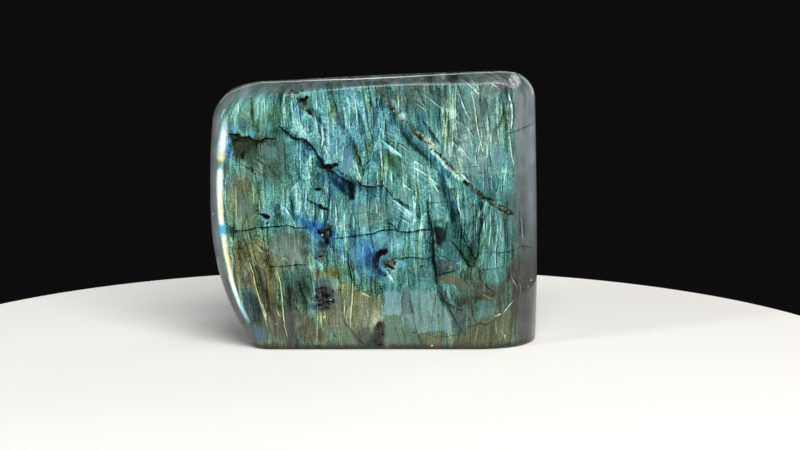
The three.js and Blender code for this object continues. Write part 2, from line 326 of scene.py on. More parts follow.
# Soft zones: middle, radii, turn in degrees, softness of the edge, then the values of FIELDS.
ZONES = [
    # broad regions of the upper half
    ((32, 70), (16, 24), 0, 0.8, 0.54, 0.22, 0, 0.45, 0.5),
    ((31, 61), (11, 10), 0, 0.8, 0.6, 0.12, 0.08, 0.35, 0.5),
    ((13, 79), (17, 7), 0, 0.8, 0.4, 0.2, 0, 0.4, 0.5),
    ((12, 56), (12, 14), 0, 0.8, 0.52, 0.12, 0.1, 0.1, 0.55),
    ((-5, 73), (13, 13), 0, 0.8, 0.62, 0, 0.3, 0, 0.95),
    ((-14, 63), (9, 11), 0, 0.8, 0.62, 0, 0.3, 0, 0.95), ((-23, 60), (6, 24), 0, 0.8, 0.6, 0, 0.2, 0, 1),
    ((-22, 47), (9, 8), 0, 0.8, 0.6, 0, 0.2, 0, 0.95),
    ((-4, 43), (9, 8), 0, 0.8, 0.53, 0.12, 0.2, 0.1, 0.42),
    ((8, 45), (8, 9), 0, 0.8, 0.54, 0.1, 0.15, 0.12, 0.42),
    ((-32, 50), (8, 9), 0, 0.8, 0.6, 0.1, 0, 0, 0.8), ((-38, 74), (11, 9), 0, 0.6, 0.62, 0.16, 0, 0, 0.6),
    # broad regions of the lower half
    ((-2, 31), (13, 12), 0, 0.8, 0.53, 0, 0.5, 0, 0.5),
    ((13, 27), (9, 11), 0, 0.8, 0.45, 0.1, 0.15, 0, 0.5),
    ((36, 38), (12, 14), 0, 0.8, 0.46, 0.15, 0.05, 0.2, 0.6),
    ((34, 16), (13, 15), 0, 0.7, 0.34, 0.5, 0, 0.5, 0.4),
    ((-41, 46), (7, 14), 0, 0.6, 0.5, 0.75, 0, 0.25, 0.5),
    ((-38, 26), (13, 15), 0, 0.8, 0.4, 1, 0, 0.35, 0.8), ((-27, 31), (9, 9), 0, 0.8, 0.5, 0.5, 0, 0.6, 0.4),
    ((-24, 20), (7, 8), 0, 0.8, 0.3, 0.15, 0.25, 0.4, 0.4),
    ((-30, 8), (14, 10), 0, 0.8, 0.36, 0.7, 0, 0.6, 0.35),
    ((-11, 12), (9, 15), 0, 0.8, 0.5, 0.65, 0, 0.35, 0.45),
    ((-2, 13), (6, 6), 0, 0.8, 0.5, 0.75, 0, 0.1, 0.3), ((-4, 4), (8, 5), 0, 0.8, 0.38, 0.5, 0, 0.45, 0.3),
    ((12, 5), (13, 6), 0, 0.8, 0.46, 0.5, 0, 0.2, 0.3), ((33, 4), (14, 6), 0, 0.8, 0.4, 0.9, 0, 0.1, 0.35),
    # upper left
    ((-42.5, 76), (2.5, 3), 0, 0.9, 0.7, 0, 0, 0, 0.6), ((-34.5, 77), (2.5, 4), 0, 0.9, 0.66, 0, 0, 0, 0.6),
    ((-41, 70.5), (4, 3), 0, 0.8, 0.42, 0.1, 0.1, 0.2, 0.35),
    ((-37, 70), (4, 3.5), 0, 0.9, 0.41, 0.25, 0, 0.1, 0.5),
    ((-31.5, 73), (2.5, 6), 10, 0.9, 0.42, 0.6, 0, 0, 0.5),
    ((-38.5, 74), (1, 6), 2, 0.9, 0.32, 0.25, 0, 0, 0.6),
    ((-31, 68), (3.5, 2.5), 0, 0.9, 0.28, 0.35, 0, 0, 0.5),
    ((-25.5, 72), (3, 6), 12, 0.8, 0.68, 0, 0.1, 0, 0.9),
    ((-24, 75.5), (2, 4), 12, 0.8, 0.52, 0, 0.75, 0, 0.6),
    ((-22, 77), (3.5, 4), 30, 0.8, 0.26, 0.35, 0, 0.3, 0.6),
    ((-25.5, 80.5), (3.5, 1.5), 0, 0.9, 0.34, 0.2, 0, 0.6, 0.5),
    ((-20.5, 69), (2.5, 4), 5, 0.8, 0.6, 0, 0.2, 0, 0.9),
    ((-26, 61.5), (3, 4), 0, 0.8, 0.6, 0, 0.05, 0, 0.9),
    ((-21.5, 62), (2.6, 3), 20, 0.8, 0.38, 0, 0.8, 0, 0.7),
    ((-29.5, 60), (2.5, 6), 0, 0.9, 0.44, 0.2, 0, 0, 0.5),
    ((-29, 55), (4, 2), -15, 0.9, 0.37, 0.15, 0, 0.1, 0.6),
    ((-21.5, 56), (2, 5), 0, 0.8, 0.62, 0, 0.1, 0, 1), ((-35, 52), (5, 2.5), -20, 0.9, 0.5, 0.1, 0, 0, 0.7),
    # upper middle
    ((-17, 71), (2, 8), 0, 0.9, 0.6, 0, 0.3, 0, 0.9), ((-13.5, 75), (2, 6), 0, 0.9, 0.43, 0.5, 0, 0, 0.8),
    ((-13.5, 63.5), (2.5, 3), 0, 0.8, 0.56, 0, 0.4, 0, 0.8),
    ((-9.5, 60.5), (1.6, 4), 0, 0.8, 0.64, 0.2, 0.25, 0, 0.7),
    ((-6, 77), (2.4, 3.5), 0, 0.8, 0.72, 0, 0.2, 0, 0.9),
    ((-6, 62), (1.6, 6), 14, 0.9, 0.4, 0.4, 0.1, 0, 0.7),
    ((-2, 76.5), (1.2, 3), 0, 0.8, 0.46, 0.2, 0, 0, 0.8),
    ((1.8, 72), (2.5, 5), 0, 0.8, 0.64, 0, 0.3, 0, 0.7),
    ((2, 80.5), (3, 2.5), 0, 0.8, 0.44, 0.1, 0, 0.5, 0.5),
    ((6.5, 68), (2.5, 4), 30, 0.8, 0.66, 0, 0.25, 0.05, 0.4),
    ((-2.5, 63), (2.2, 5), 0, 0.9, 0.4, 0.35, 0, 0.1, 0.7),
    ((2.2, 56), (1.8, 4), 0, 0.8, 0.62, 0.35, 0, 0, 0.8),
    ((-17.5, 58.5), (2.5, 3), 35, 0.8, 0.2, 0, 0.3, 0, 0.6),
    ((-13, 54), (5, 4), -25, 0.8, 0.38, 0, 0.7, 0, 0.6),
    ((-9.5, 51.5), (3.6, 3.4), -40, 0.8, 0.22, 0, 0.7, 0, 0.4),
    ((-6, 52.5), (2.6, 1.8), -30, 0.8, 0.14, 0, 0.4, 0, 0.5),
    ((-13.5, 49), (2.2, 3.5), 0, 0.8, 0.5, 0, 0.45, 0, 0.6),
    ((-17.8, 48), (2.3, 3.5), 0, 0.8, 0.72, 0, 0.3, 0, 0.9),
    ((-9.8, 41), (1.8, 4), 0, 0.8, 0.62, 0, 0.15, 0, 0.5),
    ((-1.8, 49), (2, 3.5), 0, 0.8, 0.4, 0, 0.25, 0, 0.6),
    ((-2, 44.5), (3, 2), 0, 0.9, 0.44, 0.25, 0, 0, 0.6),
    ((2.8, 48), (2, 3.5), 10, 0.8, 0.5, 0, 0.3, 0, 0.5),
    ((4.5, 40.5), (1.8, 2.4), 0, 0.8, 0.44, 0, 0.35, 0, 0.5),
    ((-26, 44), (1.6, 5), 0, 0.8, 0.44, 0, 0.35, 0.15, 0.6),
    ((-34.5, 42), (3.4, 3), 0, 0.7, 0.62, 0, 0.3, 0.2, 0.3),
    ((-30.5, 40), (4, 1.8), 0, 0.8, 0.38, 0.15, 0, 0, 0.6),
    # upper right
    ((22.8, 72), (1.6, 12), 0, 0.8, 0.44, 0.5, 0, 0, 0.8),
    ((26.5, 76), (1.6, 6), 0, 0.8, 0.56, 0.05, 0, 0.1, 0.7),
    ((15, 73), (3, 4), 30, 0.8, 0.38, 0, 0.35, 0.2, 0.4),
    ((18.5, 77), (2, 5), 10, 0.8, 0.52, 0, 0.2, 0.25, 0.4),
    ((40.5, 71), (1.5, 10), 0, 0.8, 0.36, 0.4, 0, 0.1, 0.8),
    ((38, 73), (1.6, 8), 0, 0.8, 0.4, 0.25, 0, 0.1, 0.9),
    ((38.5, 60), (3, 5), 0, 0.8, 0.52, 0, 0.3, 0.3, 0.5),
    ((14, 56.5), (2, 3), 0, 0.8, 0.58, 0, 0.05, 0, 0.8),
    ((18.3, 53), (1.8, 3.4), 20, 0.8, 0.58, 0, 0.15, 0, 0.7),
    ((26.3, 50), (1.2, 6), 0, 0.8, 0.66, 0.05, 0, 0, 0.7),
    ((36, 51), (4.5, 3), -40, 0.8, 0.5, 0, 0.35, 0.1, 0.5),
    ((42, 45), (3.5, 7), 0, 0.8, 0.38, 0.1, 0, 0.4, 0.4),
    ((10, 43), (4, 3), -30, 0.8, 0.58, 0, 0.1, 0.1, 0.3),
    ((14.5, 43.5), (1.2, 4), 0, 0.8, 0.42, 0.25, 0, 0, 0.7),
    ((13.8, 39), (2.8, 1.8), 0, 0.8, 0.62, 0.1, 0, 0, 0.8),
    ((25.2, 45), (1.2, 2.6), 0, 0.8, 0.46, 0, 0.4, 0, 0.3),
    ((30, 43), (3, 4), 0, 0.8, 0.5, 0.1, 0.05, 0, 0.6),
    ((33.3, 34), (1.2, 8), 0, 0.8, 0.36, 0.15, 0, 0, 0.6),
    ((22, 36), (3.4, 5), 0, 0.8, 0.32, 0.15, 0.05, 0, 0.5),
    ((30, 30), (3, 5), 20, 0.8, 0.28, 0.2, 0, 0, 0.7),
    ((38, 39), (3.4, 6), 0, 0.8, 0.53, 0.05, 0, 0.15, 0.6),
    ((36, 81.6), (5, 2.2), 0, 0.8, 0.43, 0.2, 0, 0.5, 0.6),
    # the middle, round the minerals
    ((-16.3, 36.6), (3.8, 3.2), -20, 0.6, 0.13, 0, 1, 0, 0.3),
    ((-19, 41), (2, 2.4), 0, 0.8, 0.56, 0, 0.75, 0, 0.6),
    ((-17, 29.8), (3.6, 3.2), 0, 0.8, 0.31, 0.1, 0.3, 0.4, 0.4),
    ((-22.5, 31), (2.6, 3), 0, 0.9, 0.34, 0.3, 0, 0.7, 0.3),
    ((-28, 32), (3.2, 4), 0, 0.8, 0.57, 0.5, 0, 0.55, 0.3),
    ((-24.5, 36), (3, 2.4), 0, 0.8, 0.36, 0.1, 0.15, 0.5, 0.4),
    ((-3.6, 29.8), (4.8, 5.4), 15, 0.8, 0.58, 0, 0.75, 0, 0.45),
    ((-1.2, 28.3), (3.2, 5), 10, 0.7, 0.34, 0, 0.8, 0, 0.4),
    ((0.4, 28.5), (1.6, 4), 8, 0.8, 0.14, 0, 0.9, 0.1, 0.3),
    ((2.3, 34.6), (1.5, 2.4), 0, 0.8, 0.76, 0, 0.4, 0, 0.3),
    ((-2, 24.3), (4, 1.6), -25, 0.8, 0.62, 0, 0.65, 0, 0.5),
    ((2, 24.2), (2.4, 1), -30, 0.8, 0.32, 0, 1, 0, 0.3),
    ((4.6, 22.8), (2.2, 1.2), -45, 0.8, 0.7, 0, 0.2, 0, 0.4),
    ((8.2, 26.8), (2.3, 2), 0, 0.9, 0.78, 0, 0.55, 0, 0.4),
    ((6.5, 33), (3, 3), 0, 0.8, 0.7, 0, 0.3, 0, 0.8),
    ((3.4, 27.6), (1.8, 1.6), 0, 0.8, 0.34, 0.1, 0.2, 0.2, 0.4),
    ((10, 36.5), (3, 1.6), 0, 0.8, 0.4, 0, 0.3, 0.1, 0.5),
    ((15, 24.5), (2.6, 3), 0, 0.8, 0.5, 0, 0.25, 0.1, 0.6),
    ((-11, 36), (2, 2), 0, 0.8, 0.44, 0, 0.1, 0.1, 0.6),
    ((8.8, 22), (1.6, 3), 0, 0.8, 0.42, 0, 0.2, 0.05, 0.4),
    ((-9.5, 25), (3, 3.6), 0, 0.8, 0.5, 0.35, 0.1, 0, 0.55),
    ((-14, 24), (5, 3.4), 0, 0.8, 0.42, 0.75, 0, 0.1, 0.7),
    ((-10.5, 20), (2.4, 2.8), 0, 0.8, 0.58, 0.7, 0, 0.1, 0.9),
    ((-5.2, 17.5), (1.8, 3), 0, 0.8, 0.42, 0.85, 0, 0, 0.6),
    ((0, 20), (4.5, 1.8), -8, 0.8, 0.52, 0.2, 0.1, 0, 0.7),
    ((6, 20.2), (3, 1.6), 0, 0.8, 0.56, 0, 0.1, 0, 0.6),
    ((14.5, 19.8), (3, 2), 0, 0.8, 0.6, 0, 0.3, 0.1, 0.6),
    ((18.5, 16.5), (2, 3), -15, 0.8, 0.64, 0, 0.1, 0.15, 0.5),
    # lower left
    ((-21.6, 28), (2.4, 2.4), 0, 0.9, 0.4, 0.3, 0.1, 0.3, 0.5),
    ((-23, 82), (4.4, 1.8), 0, 0.9, 0.32, 0.2, 0.1, 0.5, 0.4),
    ((-42, 47), (6, 11), 0, 0.8, 0.5, 0.6, 0, 0.4, 0.45),
    ((-45.3, 52), (1.6, 5), 0, 0.8, 0.46, 0.35, 0, 0.7, 0.3),
    ((-40.8, 51), (2.6, 5), 8, 0.8, 0.5, 0.85, 0, 0.3, 0.6),
    ((-37.6, 48.5), (1.5, 4.5), 0, 0.8, 0.6, 0.6, 0, 0, 0.6),
    ((-41, 44), (2.6, 5), 0, 0.8, 0.51, 0.45, 0, 0.6, 0.2),
    ((-45.5, 45), (1.5, 7), 0, 0.8, 0.58, 0.9, 0, 0.1, 0.4),
    ((-45, 37), (3, 3), 0, 0.8, 0.36, 0.3, 0.1, 0.1, 0.7),
    ((-42.3, 30), (2, 5), 0, 0.8, 0.33, 1.2, 0, 0, 0.6),
    ((-37.5, 31), (2.5, 4), 0, 0.8, 0.5, 0.9, 0, 0.1, 0.5),
    ((-33.5, 26), (2, 6), 0, 0.8, 0.32, 1.3, 0, 0, 0.55),
    ((-30.3, 27), (1.8, 3), 0, 0.8, 0.58, 0.6, 0, 0.2, 0.5),
    ((-40, 22), (3, 2.6), 0, 0.8, 0.31, 0.6, 0, 0.6, 0.5),
    ((-35.7, 20), (1.4, 6), 12, 0.8, 0.27, 0.8, 0, 0.2, 0.5),
    ((-31.3, 17), (1, 5), 4, 0.8, 0.36, 0.8, 0, 0.4, 0.3),
    ((-26.5, 21), (2.4, 5), 0, 0.8, 0.42, 0.1, 0.15, 0.1, 0.4),
    ((-22, 19), (2.2, 5), 12, 0.8, 0.22, 0.1, 0.4, 0.1, 0.5),
    ((-16, 16.8), (4.2, 5), 0, 0.7, 0.24, 0, 0.5, 0.6, 0.4),
    ((-16.4, 21.4), (3.4, 2.4), 0, 0.9, 0.4, 0, 0.5, 0.5, 0.3),
    ((-18.6, 13.2), (2.6, 1.5), -20, 0.9, 0.3, 0, 0.9, 0.3, 0.3),
    ((-37.5, 4.6), (6, 5), 0, 0.9, 0.47, 0, 0.8, 0.4, 0.2),
    ((-33, 8), (2, 3), 12, 0.8, 0.48, 0.7, 0, 0.3, 0.4),
    ((-20.5, 6), (3, 6), 0, 0.8, 0.37, 0.8, 0, 0.5, 0.3),
    ((-15.5, 9), (2, 4), 0, 0.8, 0.5, 0.8, 0, 0.2, 0.6), ((-17, 4), (3, 3), 0, 0.9, 0.38, 0.9, 0, 0.1, 0.3),
    ((-6.3, 11), (1.6, 6), 0, 0.9, 0.5, 1, 0, 0, 0.4),
    # lower right
    ((19, 2.6), (7, 3.2), 0, 0.7, 0.46, 0.75, 0, 0.1, 0.3),
    ((9, 7), (7, 5), 0, 0.8, 0.52, 0.35, 0, 0.2, 0.35),
    ((42.5, 24), (2.5, 4), 0, 0.8, 0.2, 0.8, 0, 0.6, 0.3),
    ((29, 19), (4, 2.4), -10, 0.8, 0.5, 0.4, 0, 0.3, 0.3),
    ((39, 18), (3.5, 3), 0, 0.8, 0.36, 0.7, 0, 0.6, 0.3),
    ((29, 12), (2.5, 3), 0, 0.8, 0.46, 0.1, 0, 0.3, 0.3),
    ((36, 16), (4, 1.6), -10, 0.8, 0.42, 0.7, 0, 0.2, 0.3),
    ((28.5, 3.5), (4, 4), 0, 0.8, 0.33, 1, 0, 0.1, 0.3),
    ((37, 4.5), (6, 4), 0, 0.8, 0.47, 0.9, 0, 0.1, 0.35),
    ((30.5, 16), (1.5, 2.4), 0, 0.9, 0.42, 0.4, 0, 0.3, 0.3),
    # deeper tones here and there
    ((-38, 16), (4, 5), 0, 0.9, 0.28, 0.3, 0.3, 0.4, 0.4),
    ((-22, 15), (2.6, 5), 10, 0.9, 0.27, 0.2, 0.3, 0.3, 0.35),
    ((20.5, 65), (2, 3), 30, 0.8, 0.64, 0, 0.1, 0, 0.6),
    ((-4, 57), (1.8, 4), 10, 0.8, 0.42, 0.2, 0, 0, 0.7),
    ((-3.5, 50.2), (3, 2), -15, 0.8, 0.3, 0, 0.3, 0, 0.6),
    ((19.5, 41), (2, 4), 0, 0.8, 0.3, 0.1, 0.1, 0, 0.5),
    ((-22, 34.5), (3, 2.6), 0, 0.8, 0.34, 0.1, 0.2, 0.4, 0.4),
    ((-16.5, 33), (3, 1.8), -15, 0.8, 0.2, 0, 0.6, 0.3, 0.4),
    ((31.5, 28), (3, 3.4), 0, 0.8, 0.31, 0.2, 0, 0.1, 0.6),
    ((-33.8, 16), (2.4, 7), 10, 0.8, 0.16, 0.8, 0, 0.5, 0.5),
    ((-27.2, 16), (2.6, 6), 0, 0.8, 0.24, 0.1, 0.1, 0.4, 0.5),
    ((1.5, 4), (3.4, 5), 0, 0.8, 0.22, 0.7, 0, 0.4, 0.4),
    ((29, 76), (3.6, 8), 6, 0.8, 0.52, 0.05, 0.05, 0.35, 0.35),
    ((-21.6, 63.6), (3, 1.5), -40, 0.8, 0.26, 0, 0.4, 0, 0.5),
    ((2.5, 21), (2.4, 1.4), 0, 0.8, 0.6, 0.1, 0.1, 0, 0.6),
    ((13.6, 48), (2.4, 5), 0, 0.8, 0.5, 0.15, 0, 0, 0.6), ((44, 13), (3, 7), 0, 0.8, 0.3, 0.5, 0, 0.6, 0.3),
    ((-18, 24), (3, 2.4), 0, 0.8, 0.38, 0.5, 0, 0.3, 0.7), ((3, 22), (4, 2), 0, 0.8, 0.62, 0, 0.2, 0, 0.5),
    ((-23, 83), (6, 2), 0, 0.9, 0.2, 0.2, 0.1, 0.6, 0.4),
    ((-46, 57), (1.6, 3), 0, 0.9, 0.34, 0.4, 0.1, 0.6, 0.3),
    ((20.4, 41), (2.6, 1.6), 0, 0.8, 0.3, 0.3, 0, 0, 0.5),
    ((30, 19.6), (5, 5), 0, 0.9, 0.42, 0.45, 0, 0.4, 0.4),
    ((-16, 37), (3, 3.2), -20, 0.8, 0.2, 0, 0.9, 0.2, 0.4),
    ((7.6, 27.4), (1.6, 2), 0, 0.8, 0.7, 0, 0.35, 0, 0.5),
    ((0, 43), (7, 5), 0, 0.6, 0.53, 0.1, 0.05, 0.3, 0.5),
    ((37, 36), (4, 8), 0, 0.7, 0.49, 0.1, 0, 0.15, 0.5),
]

# Patches with their own outline: softness of the edge in millimetres, values of FIELDS, corners.
PATCHES = [
    (3.4, (0.33, 0.3, 0, 0.45, 0.45), [(-44, 64.6), (-36, 65.6), (-30.4, 65.6), (-28, 61), (-28.4, 55.4),
        (-33, 52.6), (-38.6, 55.8), (-42, 59.6)]),
    (1.7, (0.15, 0.6, 0, 0.45, 0.45), [(-45.5, 66.8), (-42, 66.8), (-38, 66), (-33.6, 66.2),
        (-35.4, 63.8), (-39.6, 62.6), (-41, 60), (-43, 60), (-44.8, 61.5)]),
    (0.7, (0.42, 0, 1, 0, 0.5), [(-26, 42.8), (-22, 41), (-18.5, 39.6), (-14.5, 39.8), (-12.8, 37.5),
        (-12.8, 34.5), (-15, 32.8), (-17.5, 34.4), (-20.5, 37), (-23, 39.6)]),
    (1.8, (0.37, 0, 0.45, 0.4, 0.35), [(-42.3, 19.5), (-38.2, 19.5), (-37, 15.5), (-35.4, 10),
        (-35.2, 8.8), (-38.5, 9), (-41, 11.5), (-42.3, 15)]),
    (1, (0.15, 0.1, 0.4, 0.4, 0.3), [(-37.6, 17), (-36.6, 14.5), (-35.2, 9), (-37.5, 9.5), (-38.2, 13)]),
    (0.25, (0.69, 0, 0.25, 0.3, 0.25), [(2.6, 18.3), (7.9, 18.3), (8.2, 10.8), (2.6, 10.8)]),
    (0.4, (0.62, 0.1, 0.1, 0.3, 0.3), [(8.2, 19.4), (18.5, 18.8), (21, 15), (24.5, 9), (24, 5.6),
        (14, 5), (8, 9)]),
    (0.5, (0.48, 0.5, 0, 0.15, 0.25), [(2.8, 10.6), (8.2, 10.6), (8.2, 5.6), (13, 5), (15, 1), (4, 1),
        (3.4, 6)]),
    (0.3, (0.5, 0, 0.1, 0.4, 0.25), [(8.3, 19.4), (10.6, 19.6), (12.3, 11), (8.5, 11)]),
    (0.35, (0.55, 0, 0.1, 0.2, 0.35), [(17.8, 49.5), (21, 49.6), (22.8, 45), (23, 41.5), (18.5, 41)]),
    (0.5, (0.16, 0, 0.15, 0, 0.4), [(19.6, 57.5), (21.4, 56), (23.4, 50.5), (24.9, 44.5), (25.4, 40),
        (24, 39.5), (23.2, 44), (21.8, 49.5), (20, 54.5)]),
    (0.7, (0.07, 0, 0.4, 0.2, 0.2), [(18.4, 38.6), (20.2, 39.2), (21.8, 38.3), (21.4, 34.5),
        (20.5, 31.8), (19, 33.5)]),
    (0.5, (0.36, 0.1, 0.1, 0, 0.5), [(22.6, 39.5), (25.5, 40), (27, 35), (29.5, 30), (31, 26.5),
        (29, 26.8), (26.5, 29.5), (24.5, 33), (22.5, 34)]),
    (0.5, (0.38, 0, 0.15, 0.1, 0.3), [(21, 33.4), (24.4, 32.8), (27.4, 28.6), (26, 27.4), (21.5, 29.2)]),
    (0.35, (0.35, 0, 0.3, 0.5, 0.35), [(20, 28.8), (26, 27.4), (27, 25), (23, 24.2), (20.2, 23.9)]),
    (1.1, (0.53, 0, 0, 0.1, 0.45), [(33.5, 30), (40.5, 29), (41, 23), (38, 20), (34, 21)]),
    (0.6, (0.47, 0.1, 0, 0.2, 0.3), [(31.5, 14.6), (38, 15), (38.2, 12.5), (36, 10), (31.5, 9)]),
    (0.5, (0.4, 0.9, 0, 0.1, 0.35), [(26.5, 5.5), (29, 7.4), (33, 8.4), (38, 9.6), (41, 11), (44, 13.5),
        (44, 1), (26, 1)]),
    (0.45, (0.36, 0.1, 0.1, 0.2, 0.3), [(18.5, 28), (20.2, 28), (20.5, 22.5), (22.2, 17.5), (24.5, 13.5),
        (27.6, 8.5), (29, 4.5), (26, 5), (23.5, 10.5), (20.6, 16.5), (19, 21)]),
    (0.5, (0.46, 1, 0, 0.35, 0.3), [(20.4, 22.9), (24, 23.5), (28, 21.6), (28.6, 19.2), (25, 20),
        (21, 21.2)]),
    (0.9, (0.36, 0, 0.5, 0.75, 0.2), [(-28.4, 12), (-24.6, 12), (-24.6, 1.5), (-28.4, 1.5)]),
    (0.5, (0.52, 0.2, 0, 0.2, 0.2), [(-11, 8), (-9, 7.6), (-4.8, 1), (-9, 1)]),
    (0.4, (0.44, 0, 0.2, 0.35, 0.3), [(-12, 74.8), (-9.8, 74.8), (-9.6, 71), (-10.3, 68.5), (-11.4, 71.5)]),
    (0.4, (0.42, 0.45, 0, 0, 0.4), [(2.3, 62.5), (4.6, 61.6), (8.6, 59.4), (7, 56), (4.5, 57.6)]),
    (0.5, (0.34, 0, 0.35, 0, 0.6), [(8.2, 71.4), (10.2, 69.4), (13, 65.6), (17, 61.8), (20.5, 58.4),
        (24, 54.4), (25.4, 51.6), (22.5, 53.8), (19, 57.4), (15, 61), (11.5, 64.4), (9, 67.4)]),
    (0.3, (0.92, 0, 0.15, 0, 0.1), [(2.6, 65.7), (4, 65), (6.6, 62.8), (8.7, 60.5), (7.6, 60.5),
        (5.4, 61.8), (3.4, 63.7)]),
    (0.35, (0.56, 0, 0.45, 0.3, 0.25), [(-10, 64), (-7.6, 63.6), (-7, 59), (-7.8, 55.4), (-9.8, 55.4)]),
    (0.35, (0.06, 0, 0.3, 0.1, 0.2), [(-8.6, 53.4), (-6.4, 52.6), (-6, 50), (-6.6, 47.6), (-7.6, 47),
        (-8, 50)]),
    (0.5, (0.05, 0.2, 0.7, 0.2, 0.3), [(-18.4, 37.6), (-17, 38.2), (-15.4, 37.4), (-14.2, 35.2),
        (-14.4, 33.6), (-15.6, 34), (-17, 35.6)]),
    (0.7, (0.15, 0.5, 0.25, 0.6, 0.3), [(-15.8, 39.4), (-14, 39.2), (-13.4, 37), (-14.4, 36.6),
        (-15.6, 37.6)]),
    (0.3, (0.02, 0, 0.3, 0.2, 0.1), [(0.1, 28.4), (0.5, 30.2), (1.7, 31.6), (3.3, 31.9), (4, 30.8),
        (3.3, 29.9), (2.2, 30.3), (1.5, 29.2), (1.2, 28)]),
    (0.3, (0.92, 0.1, 0.1, 0, 0.6), [(16.6, 64.4), (19, 62.6), (22, 59.4), (25, 56), (28, 53.2),
        (27, 52.6), (23.5, 55.4), (20.5, 58.6), (17.5, 61.8)]),
    (1, (0.16, 0, 0.8, 0.3, 0.2), [(-2.6, 0.4), (1.2, 0.4), (1, 4.6), (-0.8, 4.2)]),
    (0.6, (0.08, 0.6, 0.1, 0.6, 0.4), [(1, 0.4), (4, 0.4), (3.2, 4), (2.7, 8.8), (1.4, 9.4), (-0.4, 7.4),
        (0.8, 4.6)]),
    (1.4, (0.15, 0.1, 0.5, 0.6, 0.9), [(-18.4, 18.4), (-16.6, 19.8), (-14.8, 18.8), (-13.8, 17),
        (-12.6, 15.4), (-14.2, 13.8), (-16.4, 12.8), (-18, 14), (-18.8, 16)]),
    (0.5, (0.52, 0, 1, 0, 1), [(-46.4, 66), (-44.2, 66.2), (-43.8, 62), (-45, 60), (-46.6, 61.5)]),
    (0.5, (0.66, 0, 1, 0, 0.15), [(-45.2, 70.4), (-43.8, 70.4), (-43, 69), (-43.6, 68.2), (-44.8, 68.8)]),
    (0.5, (0.66, 0, 1, 0, 0.15), [(-39, 68.3), (-38, 68.9), (-37.2, 68), (-37.8, 66.9), (-38.9, 67.2)]),
    (0.3, (0.46, 0, 0.3, 0.9, 0.15), [(-42.6, 82.6), (-39.6, 83), (-39, 78.4), (-41.6, 78.2)]),
    (1.1, (0.57, 0.7, 0, 0.3, 0.55), [(-5.4, 18), (-3, 18.6), (1.8, 16.6), (2.3, 9.6), (-1, 8), (-5, 7.6)]),
    (0.3, (0.86, 0.1, 0.1, 0.2, 0.3), [(6.8, 73.2), (8.6, 72.2), (9.8, 73.2), (8.8, 74.2), (7.6, 73.6)]),
    (0.4, (0.66, 0, 0.25, 0.25, 0.25), [(6, 47), (9.4, 44.8), (13.6, 41.2), (13.2, 40.6), (9.6, 42.6),
        (6, 45.4)]),
    (0.5, (0.66, 0, 0.3, 0.1, 0.3), [(0.8, 36.6), (2.4, 37.2), (3.8, 36.4), (3.6, 34.4), (2.2, 33.2),
        (1, 34)]),
    (1.6, (0.45, 0.1, 0.05, 0.2, 0.45), [(-34, 62.5), (-31, 63), (-30, 59.5), (-32.4, 58.6)]),
    (1.2, (0.22, 0.3, 0, 0.3, 0.5), [(-36, 60.6), (-33.6, 57), (-31.4, 55.6), (-32, 57.4), (-34, 60.6)]),
]

# Marks on the top: middle (across, behind the front face), radii, turn, softness, values of FIELDS.
TOP_ZONES = [
    ((17.2, 7), (2, 9), 0, 0.6, 0.1, 0.1, 0.3, 0.6, 0.5),
    ((24.6, 7), (2.8, 9), 0, 0.6, 0.07, 0.2, 0.1, 0.6, 0.6),
    ((21.4, 6), (1.1, 5), 0, 0.4, 0.66, 0, 0.1, 1, 0.1), ((8, 8), (5, 9), 0, 0.8, 0.24, 0.3, 0.1, 0.6, 0.5),
    ((33, 8), (4, 6), 0, 0.8, 0.5, 0.1, 0, 0.8, 0.5), ((-6, 10), (4, 7), 0, 0.8, 0.32, 0.6, 0, 0.6, 0.5),
    ((0, 8), (3, 8), 0, 0.8, 0.56, 0, 0, 0.8, 0.3), ((-14, 9), (3, 9), 0, 0.8, 0.5, 0.1, 0.1, 0.7, 0.3),
    ((-26, 9), (4, 9), 0, 0.8, 0.34, 0.1, 0.3, 0.7, 0.3), ((39, 6), (4, 6), 0, 0.8, 0.46, 0.2, 0, 1, 0.5),
    ((-33, 8), (3, 8), 0, 0.8, 0.46, 0.4, 0, 0.4, 0.3),
    ((12, 20), (6, 5), 30, 0.8, 0.3, 0.3, 0.2, 0.5, 0.6),
    ((-18, 20), (8, 4), -20, 0.8, 0.34, 0.3, 0.2, 0.5, 0.6),
    ((30, 22), (7, 4), 10, 0.8, 0.36, 0.2, 0.3, 0.5, 0.6),
]

# Patches of the shoulders, drawn over the rim's grey: softness in millimetres, values of FIELDS, corners.
CORNER_PATCHES = [
    (0.3, (0.6, 0, 0.12, 0.85, 0.15), [(-42.6, 82.4), (-39.6, 82.8), (-39, 78.6), (-41.7, 78.2)]),
    (0.4, (0.74, 0, 0, 0.95, 1.1), [(41.6, 84), (43.6, 86), (45.6, 85.4), (46.2, 83.4), (44.4, 81.4),
        (42.4, 81.6)]),
    (0.8, (0.42, 0.2, 0, 1, 0.7), [(37, 85), (41.6, 84.6), (42.2, 81), (39, 80.4)]),
    (0.6, (0.7, 0, 0.05, 1, 0.05), [(45.2, 80), (46.6, 80), (46.4, 66), (45.4, 66)]),
    (2.6, (0.38, 0.8, 0, 0.8, 0.25), [(43, 27.6), (47, 28.6), (51, 26.4), (51, 12), (44.6, 14),
        (42.4, 22)]),
    (1.5, (0.5, 0.15, 0, 0.85, 0.15), [(-51, 73), (-47, 74.5), (-43.6, 78.6), (-42.4, 83), (-46, 85),
        (-51, 81)]),
]

